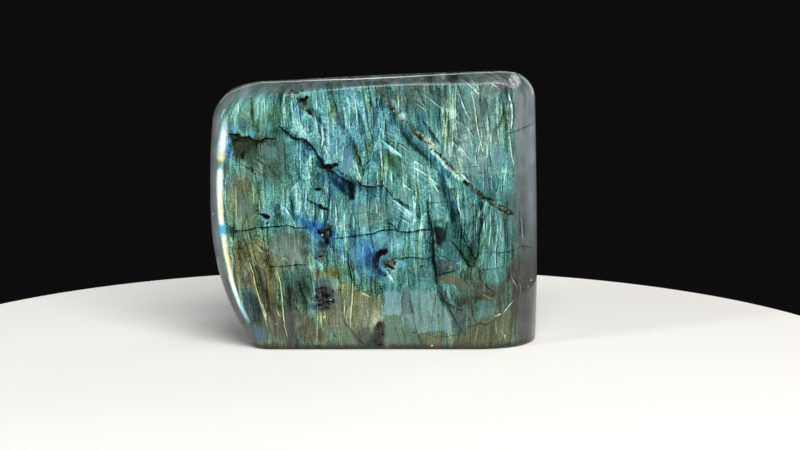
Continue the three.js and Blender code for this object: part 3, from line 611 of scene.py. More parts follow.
# Where slanting lamellae cross the upright ones: middle, radii, strength.
CROSSED = [
    ((13, 53), (13, 15), 0.45), ((8, 44), (7, 6), 0.5), ((29, 64), (7, 9), 0.5), ((29, 78), (6, 6), 0.4),
    ((-36, 57), (6, 5), 0.9), ((6, 67), (5, 6), 0.8), ((-36, 32), (6, 6), 0.6), ((16, 77), (5, 5), 0.7),
    ((-15, 64), (4, 5), 0.6), ((20, 45), (4, 5), 0.6), ((-9, 66), (3, 5), 0.6),
]

# Rust stains: middle, radii, turn, strength.
RUST_STAINS = [
    ((-42.6, 64.4), (1.2, 0.7), 0, 0.6), ((22, 22.3), (2.6, 1.1), -10, 0.55),
    ((26.8, 20.6), (2.6, 1), -20, 0.35), ((32.6, 17.2), (2.8, 0.8), -18, 0.5),
    ((21.8, 40.5), (1.4, 0.8), -20, 0.6), ((-22.6, 30.6), (1, 1.2), 0, 0.5),
    ((-40, 51.5), (0.8, 3), 12, 0.4), ((1.6, 10), (2, 1.8), 30, 0.6), ((2.2, 3.6), (1.4, 1.6), 0, 0.2),
    ((-36, 17), (0.8, 5), 12, 0.2), ((43.5, 14.8), (2.4, 0.7), 15, 0.4), ((-32.8, 19), (1.2, 6), 4, 0.4),
    ((-42.9, 27), (0.7, 5), 0, 0.4), ((5, 27.5), (1.5, 0.9), 0, 0.8),
]

# Open cracks: half width, depth of tone, places they pass through.
CRACKS = [
    (0.33, 1.1, [(-45.6, 67.6), (-43.6, 67.3), (-42.6, 66.5), (-39.5, 66.7), (-38, 65.7), (-36, 65.6),
        (-34, 66.4), (-31.8, 66.3)]),
    (0.31, 0.9, [(-30, 70), (-28.6, 68.8), (-26.6, 67.4), (-25, 66.1), (-22.6, 66), (-21.4, 65.4),
        (-20, 64), (-18, 61.5), (-16.5, 58.8)]),
    (0.3, 1, [(-16.5, 57.2), (-14, 56), (-11.5, 54.6), (-9.5, 53.6), (-7.6, 52.4)]),
    (0.17, 0.56, [(-12, 56.8), (-9, 55), (-6.8, 53.6)]),
    (0.24, 0.88, [(-5.8, 53.6), (-4.5, 52), (-2.5, 51.2), (0, 51), (2.2, 51.6), (3.4, 50.8), (5, 48.8)]),
    (0.2, 0.8, [(5, 48.8), (5.8, 47.4), (6.9, 47.5), (8.5, 46.3), (10.8, 44.7)]),
    (0.2, 0.9, [(-46, 37.6), (-43.5, 37.2), (-40, 37.7), (-37.5, 38.4), (-34, 38.6), (-31, 38.7),
        (-27, 39.1), (-25, 38.4), (-21, 38.2)]),
    (0.21, 0.95, [(-12.4, 35.2), (-9, 35.4), (-6.5, 35.6), (-3.5, 36), (-1, 36.5), (1.5, 37.5),
        (5, 37.9), (8, 37.2)]),
    (0.22, 0.95, [(8, 37.2), (12, 37.2), (15, 37.8), (18, 37.5)]),
    (0.4, 0.8, [(15.4, 71.6), (17, 69), (19, 66.5), (20.2, 64.6)]),
    (0.2, 0.56, [(13.8, 81), (15.4, 78), (16.6, 75.4)]),
    (0.26, 0.55, [(25.8, 50.6), (26, 45), (26.6, 40), (27.5, 36), (29.5, 32), (31.5, 28.5)]),
    (0.2, 0.59, [(33.5, 47.3), (33.9, 42), (33.2, 36), (32.6, 30), (31.8, 27.6)]),
    (0.15, 0.49, [(35, 44.5), (33.9, 38)]),
    (0.36, 0.8, [(16.3, 46.5), (17, 42), (17.8, 38), (18.3, 32), (18.5, 28), (19.2, 24.5), (19.6, 21)]),
    (0.35, 0.5, [(24.5, 34), (26.5, 31.5), (28, 29), (30, 26)]),
    (0.2, 0.59, [(20.3, 23.4), (22.5, 23.8), (25.5, 24.7)]),
    (0.16, 0.49, [(20.6, 29.6), (23.4, 28.2), (26.6, 27.4)]),
    (0.2, 0.5, [(20, 18.6), (22, 15.5), (24, 12), (25.6, 9), (26.4, 7.4), (28.6, 4.6)]),
    (0.17, 0.56, [(-34.6, 26), (-31.5, 26.1), (-28, 26.2), (-25, 26.6), (-21, 26.7)]),
    (0.12, 0.42, [(25.3, 68.6), (27.5, 68), (30, 68.3), (32, 69.5), (35, 69.8)]),
    (0.17, 0.49, [(41.5, 67.6), (44.5, 68.3), (47, 69.2), (50.4, 70.3)]),
    (0.18, 0.56, [(6, 28.8), (8, 28.4), (10, 29), (13, 28.9), (15.5, 28.4), (18.3, 28.7)]),
    (0.15, 0.49, [(33, 26), (33.3, 22), (35.5, 19.5), (38, 17.5)]),
    (0.13, 0.42, [(32.4, 21.5), (32.3, 15)]), (0.13, 0.42, [(33.4, 25.4), (37, 25.3), (40.6, 25.7)]),
    (0.2, 0.52, [(28.6, 7.3), (30.6, 7.4), (32.6, 8.6), (34.4, 7.9), (36.5, 8.6), (38.6, 9.8)]),
    (0.15, 0.49, [(37, 30.4), (40, 30.4), (44, 30.8)]),
    (0.13, 0.49, [(38.5, 30), (40.5, 28.5), (41.5, 25), (42.8, 22)]),
    (0.24, 0.95, [(-20.6, 47), (-18.6, 45.8), (-16.8, 44.6), (-14.8, 43.7)]),
    (0.12, 0.42, [(-7, 42.7), (-5, 43), (-2.6, 43.3), (0, 42.6)]),
    (0.11, 0.39, [(26, 57.4), (29, 57.2), (33, 57.6)]), (0.12, 0.42, [(16.5, 46), (19, 46.3), (23, 46.5)]),
    (0.18, 0.49, [(-10, 9.4), (-8, 6.8), (-6, 4), (-3.6, 2), (-2, 1)]),
    (0.15, 0.45, [(11.6, 34.6), (14, 34), (17.8, 33.2)]),
    (0.2, 0.4, [(10.6, 19.6), (11.4, 14.5), (12.4, 10.5), (13, 6), (15, 1.5)]),
    (0.13, 0.42, [(9.6, 19.6), (8.6, 16), (8.4, 12), (9.6, 9)]),
    (0.13, 0.42, [(19.4, 17.5), (18.6, 12.5), (17.8, 8.5), (18.2, 5.5)]),
    (0.12, 0.39, [(12, 5), (16, 4.6), (20, 3.8), (23.5, 4.2), (26.5, 4.6)]),
    (0.13, 0.45, [(-38.6, 79), (-38.4, 75), (-38, 71)]), (0.16, 0.49, [(-44, 43), (-44.2, 36), (-44, 28)]),
    (0.16, 0.52, [(-33.6, 38.5), (-33.4, 33), (-33.2, 27)]),
    (0.13, 0.42, [(-26.6, 51), (-26, 46), (-25.4, 41)]),
    (0.13, 0.42, [(-14.6, 44), (-14, 38), (-13.8, 30)]), (0.13, 0.42, [(-7, 46), (-7.2, 41), (-7.6, 36)]),
    (0.12, 0.42, [(-45, 31.2), (-42.5, 31.8), (-40.6, 32)]),
    (0.2, 0.4, [(20.4, 16), (23.6, 14.2), (27, 12.6)]),
    (0.18, 0.4, [(30.4, 14.4), (30.8, 11), (31.6, 8.8)]),
    (0.17, 0.49, [(-8.6, 31), (-8.4, 27), (-7.6, 24), (-6.4, 21), (-4, 19)]),
    (0.2, 0.56, [(-23.6, 21), (-22.6, 17.5), (-20.8, 14.2)]),
    (0.2, 0.56, [(4.4, 40.2), (6, 39.2), (7, 37.8)]), (0.15, 0.49, [(1.6, 20.5), (2.4, 18), (2.6, 14)]),
    (0.13, 0.42, [(9.4, 25), (8.8, 22), (9.8, 19.6)]),
    (0.15, 0.49, [(-42, 58.5), (-39, 56.6), (-37.4, 54.6), (-36.4, 52)]),
    (0.13, 0.42, [(-40.6, 62), (-41.6, 60)]), (0.16, 0.49, [(28, 38), (30, 33), (31.4, 29)]),
    (0.15, 0.42, [(44.6, 31), (47, 32), (50.4, 30.6)]), (0.13, 0.39, [(45.6, 44), (46, 37), (47, 30)]),
    (0.16, 0.5, [(16.6, 75.4), (16.9, 73)]), (0.14, 0.5, [(5.5, 52), (5.6, 46)]),
]

# Wide soft bands of shadow under the surface, where a plane in the stone turns the flash away.
BANDS = [
    (0.8, 0.8, [(4.5, 77), (7, 72), (9, 67.4), (12, 63.8), (16, 60.2), (19.6, 56.6)]),
    (1, 0.25, [(-12, 74.5), (-11, 71), (-9.6, 68)]),
    (0.45, 0.9, [(-9.4, 70), (-6.6, 65), (-5.2, 60.5), (-3.6, 55.4)]),
    (1.8, 0.35, [(17.6, 46), (18.6, 38), (19.2, 31), (20, 24)]),
    (0.8, 0.5, [(3, 66), (5, 60), (7.5, 54.5)]), (0.7, 0.5, [(-26.5, 82), (-27, 76), (-25.5, 72)]),
    (1, 0.6, [(-17, 60), (-12.6, 53), (-9, 49)]), (1.2, 0.3, [(26, 14), (30, 16.5), (37, 17)]),
    (0.6, 0.6, [(-1.2, 78), (-0.8, 72), (-0.4, 64)]), (0.7, 0.6, [(22, 83), (22, 74), (21.4, 62)]),
    (0.6, 0.6, [(39.6, 80), (40.8, 72), (41.6, 62)]), (1.4, 0.5, [(33, 47), (31.5, 38), (30.5, 31)]),
    (1.4, 0.4, [(24.6, 46), (25.6, 38), (29, 31), (31.5, 26)]),
    (0.8, 0.5, [(-9.5, 31), (-8, 25), (-6, 20)]), (0.6, 0.5, [(-16.8, 74), (-17, 68), (-16.6, 61)]),
    (0.5, 0.6, [(25.6, 66), (24.4, 60), (23.6, 55)]), (0.6, 0.5, [(1, 79), (0.7, 74), (0.5, 70)]),
    (0.6, 0.5, [(13.6, 50), (14.4, 45), (14.6, 40)]),
    (1, 0.8, [(-29, 69.6), (-25, 66.6), (-21, 64.6), (-17, 59.6)]),
    (0.9, 0.7, [(17, 46), (17.6, 38), (18.6, 29), (19.4, 22)]),
    (1.2, 0.4, [(25, 35.6), (27.6, 31), (30.6, 26.4)]), (0.5, 0.8, [(-17.2, 74), (-17, 68), (-16.6, 61)]),
    (0.5, 0.7, [(7.2, 37.6), (8.4, 44), (7.4, 48)]), (0.6, 0.7, [(-26.4, 50.6), (-26, 45), (-25.6, 40.4)]),
    (0.5, 0.8, [(33.6, 46.6), (33.2, 39), (32, 29)]), (0.4, 0.7, [(22.4, 40), (22, 34)]),
    (0.5, 0.6, [(-38.4, 79), (-38, 70)]),
]

# The healed fissure and other veins: half width, strength, tone from black 0 to white 1, places they pass
# through.
VEINS = [
    (0.35, 0.8, 0.42, [(0.5, 81), (2.4, 79.4), (3.6, 77.6)]),
    (0.55, 1, 0.3, [(3.2, 77.6), (5, 76.4), (6.6, 75), (7.4, 73.4)]),
    (0.35, 0.9, 0.1, [(4.6, 76), (6.4, 74), (7.4, 72.4)]),
    (0.6, 0.7, 0.8, [(7.2, 73.2), (8.6, 72.6), (9.4, 72.8)]),
    (0.5, 0.8, 0.35, [(9.6, 72), (11, 70.4), (12.2, 69)]),
    (1, 1, 0.4, [(11.6, 69.4), (14, 67), (16.4, 65)]),
    (1.1, 1, 0.66, [(15.6, 66.4), (17.4, 64.8), (19, 63)]),
    (0.45, 1, 0.15, [(18.6, 62.4), (20.4, 61), (21.4, 59.6)]),
    (0.8, 0.9, 0.38, [(20.8, 60.4), (23, 58.2), (25.4, 55.6)]),
    (0.4, 0.9, 0.75, [(22.4, 58), (24.6, 55.8), (27, 53.6)]),
    (0.6, 1, 0.14, [(27.6, 52.9), (29, 52), (30.4, 50.8)]),
    (0.75, 1, 0.3, [(30, 51), (32, 49.4), (34.4, 47.6)]),
    (0.6, 1, 0.05, [(32.6, 48.6), (34.6, 47.2), (36, 46.4)]),
    (0.85, 1, 0.36, [(35.4, 46.8), (38.6, 44.9), (41.4, 43.4), (43.2, 42.2)]),
    (0.25, 0.9, 0.08, [(36, 45.6), (39, 44), (42.6, 41.8)]),
    (0.25, 0.8, 0.2, [(-45.4, 66.6), (-43, 65.6), (-40.4, 65.4)]),
    (0.35, 0.8, 0.3, [(-13, 55.4), (-10.6, 54.2)]), (0.3, 0.8, 0.5, [(0.4, 51.4), (2.4, 52), (3.6, 51.2)]),
    (0.25, 1, 0, [(28, 53.4), (30, 52), (32.4, 50.1), (35, 48), (37.6, 46.6)]),
    (0.2, 0.9, 0, [(38.6, 45.8), (41, 44.6), (43.4, 42.8)]),
    (0.2, 0.9, 0, [(28.6, 51.6), (31.4, 49), (33.6, 47.2)]),
]

# Bright streaks, one of them a painted glint near the right end: half width, brightness, warmth, places they
# pass through.
STREAKS = [
    (0.22, 0.8, 0.04, [(-18.3, 79), (-18.1, 75)]), (0.16, 0.7, 0.12, [(-16, 80.5), (-15.7, 76)]),
    (0.29, 0.9, 0.12, [(-16.4, 70.5), (-16.2, 66), (-16.8, 62)]),
    (0.22, 0.8, 0, [(-18.6, 73), (-17.4, 66)]), (0.2, 0.8, 0, [(-8.4, 80.5), (-8.2, 75)]),
    (0.16, 0.7, 0.04, [(-7.7, 78), (-7.9, 69)]),
    (0.24, 0.9, 0.04, [(-6, 77.5), (-5.5, 72), (-5, 68.5), (-4.3, 65.5)]),
    (0.19, 0.8, 0, [(-3.2, 77), (-3.4, 72.5)]), (0.2, 0.8, 0, [(1.1, 78), (1.3, 74), (1.6, 69)]),
    (0.17, 0.7, 0.2, [(-0.9, 77), (-0.6, 70)]), (0.16, 0.7, 0.16, [(3.1, 73), (2.8, 67)]),
    (0.2, 0.9, 0, [(2.5, 65.5), (5.5, 63.2), (8.8, 60.5)]),
    (0.14, 0.7, 0.04, [(3, 67.4), (7.5, 64.4), (11, 62)]), (0.13, 0.6, 0.04, [(3.8, 70), (8, 66.4)]),
    (0.23, 0.9, 0.12, [(1.8, 63), (2.3, 58), (2.8, 52)]), (0.24, 0.9, 0.04, [(5.2, 56.6), (5.5, 50)]),
    (0.2, 0.8, 0.16, [(0.8, 56), (1, 51.6)]), (0.26, 0.9, 0.24, [(-6, 60), (-5.6, 57), (-4.4, 54)]),
    (0.17, 0.7, 0.2, [(-6.8, 59.5), (-6.2, 55)]), (0.19, 0.7, 0.04, [(-9.8, 64), (-10.2, 59)]),
    (0.17, 0.7, 0.04, [(-12, 66), (-11.8, 61)]), (0.22, 0.9, 0, [(-15.6, 64), (-15, 62), (-15.9, 60.4)]),
    (0.24, 0.9, 0.16, [(7.2, 82), (7.4, 78.5), (7.5, 75.6)]), (0.17, 0.8, 0.08, [(9.3, 80), (9.9, 77)]),
    (0.17, 0.7, 0.08, [(8.8, 57), (9, 50)]), (0.24, 1, 0, [(8.4, 52.4), (11.4, 50)]),
    (0.2, 0.8, 0, [(15, 80), (18.5, 77.5), (21.5, 75)]), (0.14, 0.7, 0, [(13, 77), (15.6, 75.4)]),
    (0.23, 0.9, 0, [(21, 76), (21.6, 71), (21.3, 67)]),
    (0.32, 0.8, 0.32, [(22.7, 78), (22.5, 73), (22.2, 66), (22, 62)]),
    (0.17, 0.8, 0.16, [(23.6, 83), (23.7, 77), (24, 72)]),
    (0.19, 0.8, 0.24, [(24.4, 80), (24.6, 70), (24.2, 62)]),
    (0.2, 0.8, 0.2, [(25.5, 83), (25.3, 78), (25.2, 73), (25.8, 66)]),
    (0.17, 1.2, 0, [(26.2, 81), (27.3, 77.5), (28.5, 74.5), (29.9, 72.2)]),
    (0.17, 1.2, 0.22, [(30.2, 80.6), (31, 78), (31.5, 74.5), (32, 70.5), (32.8, 66.5), (33.8, 62.5),
        (34.3, 60)]),
    (0.19, 1.2, 0, [(27.2, 84.6), (29.5, 83), (32.4, 80.1)]),
    (0.19, 0.8, 0.12, [(30.3, 84.2), (31.8, 82.8), (33, 81)]), (0.17, 0.8, 0.16, [(35.4, 84), (38.6, 82)]),
    (0.16, 0.7, 0, [(25.2, 72), (28, 70.3), (29.6, 69.2)]), (0.14, 0.6, 0, [(28, 68), (31.5, 65)]),
    (0.32, 0.7, 0.08, [(35.3, 73), (35.5, 68), (35.2, 60)]), (0.17, 0.7, 0.04, [(36.5, 68), (36.3, 60)]),
    (0.2, 0.7, 0.08, [(38.4, 79), (38.3, 74), (38.8, 66)]), (0.2, 0.8, 0.24, [(39.6, 78), (39.9, 73)]),
    (0.23, 0.9, 0.24, [(41.2, 76), (41.8, 71), (42.3, 66), (43, 61), (43.8, 57.5)]),
    # a painted glint: a white highlight streak on the surface near the right end
    (0.28, 1.4, 0, [(42.1, 79.8), (42.9, 76.5), (43.1, 73), (42.9, 69.2)]),
    (0.19, 0.7, 0, [(32, 64), (31.5, 60), (31.8, 57)]), (0.17, 0.7, 0.04, [(33.8, 58), (34.2, 51)]),
    (0.19, 0.8, 0, [(26.5, 64), (29.8, 59.5)]), (0.17, 0.7, 0, [(24.7, 65), (27.5, 61)]),
    (0.2, 0.8, 0.04, [(12.4, 60), (12.6, 54)]), (0.23, 0.9, 0, [(13, 57), (16.5, 54.6), (19.6, 52)]),
    (0.16, 0.7, 0, [(12.5, 59.4), (15.5, 57)]), (0.17, 0.7, 0.04, [(36.5, 55), (36.8, 50)]),
    (0.17, 0.7, 0.08, [(41.5, 57), (40.8, 53.5), (40.2, 51.4)]), (0.32, 1, 0, [(27.2, 55), (29.4, 52.6)]),
    (0.22, 0.8, 0, [(10, 44.2), (14.4, 40.4)]),
    (0.2, 0.8, 0.08, [(12.8, 53), (13, 49), (12.6, 44), (12.9, 40)]),
    (0.2, 0.8, 0, [(18, 52.5), (20, 49.6)]), (0.19, 0.8, 0.04, [(17.3, 49), (17.6, 44)]),
    (0.24, 1, 0, [(26, 49), (26.2, 44.6), (27.4, 42)]), (0.19, 0.7, 0.04, [(28.2, 50.6), (28.6, 46)]),
    (0.17, 0.7, 0.12, [(31.3, 47), (31.5, 40), (31.3, 35)]), (0.17, 0.8, 0.08, [(32.7, 46), (32.8, 42)]),
    (0.22, 0.9, 0.04, [(34, 43), (34.4, 38), (34.8, 35)]),
    (0.19, 0.7, 0.04, [(36.3, 44), (36.5, 38), (35.8, 32)]),
    (0.16, 0.8, 0.04, [(38, 43), (38.6, 39), (38.2, 33), (37.8, 30), (38, 26)]),
    (0.14, 0.7, 0.04, [(38.6, 39), (40, 34)]), (0.16, 0.6, 0.04, [(41.5, 38), (41.5, 32)]),
    (0.16, 0.7, 0.08, [(39.4, 51.5), (38.2, 48.5)]), (0.29, 0.7, 0, [(46.3, 40), (46.5, 37), (46.7, 34.5)]),
    (0.32, 0.9, 0, [(-20.5, 56), (-20.4, 51.6)]), (0.24, 0.8, 0, [(-19, 48), (-19.2, 42)]),
    (0.22, 0.8, 0, [(-21.5, 50), (-21.6, 44)]), (0.24, 0.9, 0, [(-16.3, 44), (-16.6, 40.4)]),
    (0.24, 0.9, 0, [(-12.3, 46), (-12.1, 40), (-11.8, 37.6)]), (0.19, 0.7, 0, [(-9.6, 44), (-9.5, 38)]),
    (0.29, 0.8, 0.04, [(-6.7, 42), (-6.4, 37.6)]), (0.24, 0.9, 0, [(5.8, 47), (9, 44.6), (12.5, 41.5)]),
    (0.19, 0.8, 0, [(7.5, 44.6), (11, 41.6)]), (0.22, 0.8, 0, [(7.6, 41.6), (10.9, 39.5)]),
    (0.2, 0.8, 0.16, [(12.1, 48), (12.4, 42), (11.9, 38)]),
    (0.28, 0.7, 0, [(3.7, 24.8), (5, 22.6), (6.3, 21)]), (0.2, 0.8, 0.08, [(0.5, 46), (0.8, 42)]),
    (0.19, 0.7, 0, [(-14.8, 51), (-14.5, 47)]), (0.2, 0.5, 0.6, [(-43.6, 51), (-43.4, 45), (-43.6, 40)]),
    (0.16, 0.4, 0.6, [(-42, 45), (-41.8, 40)]), (0.2, 0.5, 0.4, [(-38.2, 52), (-37.9, 46)]),
    (0.17, 0.4, 0.8, [(-46.8, 53), (-46.9, 44)]), (0.17, 0.8, 0, [(-29.3, 46.6), (-29, 44)]),
    (0.22, 0.9, 0, [(-28.6, 45), (-26.8, 42.6)]), (0.16, 0.6, 0.2, [(-36.3, 48), (-36, 43)]),
    (0.17, 0.7, 0.1, [(-31.8, 52), (-31.6, 47)]), (0.1, 0.5, 0.3, [(-38.6, 34), (-36, 31.5), (-34, 29.6)]),
    (0.1, 0.45, 0.3, [(-37, 35.4), (-33, 32)]),
    (0.14, 0.45, 0.5, [(-29.8, 28), (-28.2, 29), (-26.8, 27.2)]),
    (0.17, 0.7, 0.28, [(-18.6, 28), (-17.6, 27.6), (-16.4, 26.2)]),
    (0.17, 1.2, 0.8, [(-39.4, 27.6), (-38.2, 24), (-37.5, 20), (-36.5, 16.5), (-35.2, 12), (-33.9, 7.6)]),
    (0.2, 1.1, 0.8, [(-35.2, 14), (-34, 9.5)]), (0.14, 0.7, 0.8, [(-31.2, 13), (-29.8, 10.4)]),
    (0.17, 1.2, 0.65, [(-30.4, 24), (-29.6, 20.5), (-29.1, 16), (-28.8, 11), (-28.3, 7), (-27.6, 4.4)]),
    (0.2, 0.8, 0.8, [(-17, 12), (-16.9, 8)]), (0.19, 0.8, 0.5, [(-15.7, 12), (-15.5, 8.8)]),
    (0.14, 0.5, 1, [(-17.9, 13), (-18.3, 2)]), (0.2, 0.9, 0.8, [(-9.4, 15.6), (-9.6, 10.4)]),
    (0.18, 1, 0.7, [(-6.9, 20.6), (-7.2, 15), (-7.6, 10), (-7.6, 6.4)]),
    (0.29, 0.7, 0.5, [(-4, 17.8), (-1.6, 16.6)]), (0.14, 0.4, 0.3, [(2.5, 18), (2.5, 11)]),
    (0.2, 0.3, 0.6, [(-2.6, 14), (-2, 10)]), (0.23, 1.1, 0, [(41, 11.8), (42.2, 13), (43.2, 14.2)]),
    (0.22, 0.9, 0.04, [(43.3, 22), (44.2, 20.2), (44.7, 19.5)]),
    (0.19, 0.9, 0.04, [(46.2, 19), (46.3, 16.4)]), (0.19, 0.7, 0.2, [(40.2, 5.4), (41.6, 2.4)]),
    (0.16, 0.6, 0.24, [(38.2, 9), (38.4, 5)]), (0.22, 0.5, 0.2, [(33.4, 17.6), (36.6, 16)]),
    (0.19, 0.7, 0, [(-24.6, 79), (-23.6, 73), (-22.8, 68)]), (0.22, 0.8, 0.08, [(-28.4, 80), (-28, 73)]),
    (0.22, 0.8, 0.04, [(-26, 78), (-25.4, 71)]), (0.17, 0.7, 0, [(-21, 72), (-20.6, 66)]),
    (0.17, 0.7, 0, [(-25.4, 63), (-25.2, 57)]), (0.17, 0.8, 0, [(-23.4, 62), (-23.2, 54)]),
    (0.19, 0.7, 0.08, [(-24.6, 52), (-24.4, 46)]), (0.17, 0.7, 0.08, [(-34.6, 79), (-34.4, 74)]),
    (0.17, 0.7, 0.04, [(-42.8, 78), (-42.6, 74)]), (0.16, 0.7, 0.08, [(-36.6, 78), (-36.4, 73)]),
    (0.14, 0.6, 0.04, [(10, 25), (10.3, 20)]), (0.16, 0.6, 0, [(12.4, 33), (12.6, 26)]),
    (0.16, 0.7, 0.04, [(15.4, 35), (15.6, 30)]), (0.16, 0.6, 0.04, [(-10, 33), (-9.8, 27)]),
    (0.12, 0.6, 0, [(25.3, 72), (28.4, 69.8), (31.6, 66)]),
    (0.11, 0.6, 0.05, [(-31.8, 80.6), (-30.6, 81.4), (-29.2, 81)]),
]

# Golden streaks, seen edge on, in the lower left.
GOLD = [
    (0.24, 0.55, [(-43.1, 30), (-42.8, 25), (-42.7, 19), (-42.5, 15)]),
    (0.28, 0.5, [(-33.6, 26.5), (-33.4, 21), (-33, 17), (-32.4, 12)]),
    (0.22, 0.7, [(-38.9, 24), (-37.2, 17)]), (0.22, 0.5, [(-43.5, 36), (-43.3, 31)]),
    (0.2, 0.6, [(-5.9, 19), (-5.4, 14)]),
]

# Flash and painted highlight on the rounded left edge, from its top down: height, place, half width,
# brightness, warmth, blueness.
EDGE_FLASH_AND_HIGHLIGHT = [
    (74, -46.2, 0.6, 0, 0, 0.4), (71.5, -46.8, 0.8, 0.6, 0, 0.4), (68, -47.3, 1.2, 1.1, 0, 0.45),
    (64, -47.8, 1.4, 1.1, 0, 0.4), (61.5, -48.1, 1.3, 0.85, 0.3, 0.3), (60, -48.2, 1.3, 0.9, 0.9, 0),
    (58.6, -48.3, 0.8, 0.15, 0.6, 0), (57.2, -48.5, 0.7, 0.2, 0, 0.2), (55.8, -48.6, 0.9, 1.3, 0, 0.1),
    (51, -48.7, 0.95, 1.3, 0.1, 0), (48.5, -48.7, 0.9, 1.2, 0.6, 0), (42, -48.4, 0.85, 1.15, 0.75, 0),
    (40, -48.2, 0.9, 1.1, 0.3, 0.3), (38.6, -48, 1, 0.75, 0, 1), (36.8, -47.8, 1, 0.75, 0, 1),
    (35.4, -47.5, 0.9, 1, 0.3, 0.4), (34.5, -47.4, 0.8, 1, 0.7, 0), (30, -46.8, 0.72, 1, 0.8, 0),
    (25.5, -45.8, 0.62, 1, 0.7, 0), (22, -45.1, 0.65, 1.25, 0.2, 0), (18, -44, 0.6, 1.2, 0, 0.3),
    (14, -42.5, 0.55, 1, 0, 0.5), (10.5, -40.8, 0.5, 0.7, 0, 0.6), (8, -39.3, 0.4, 0, 0, 0.5),
]

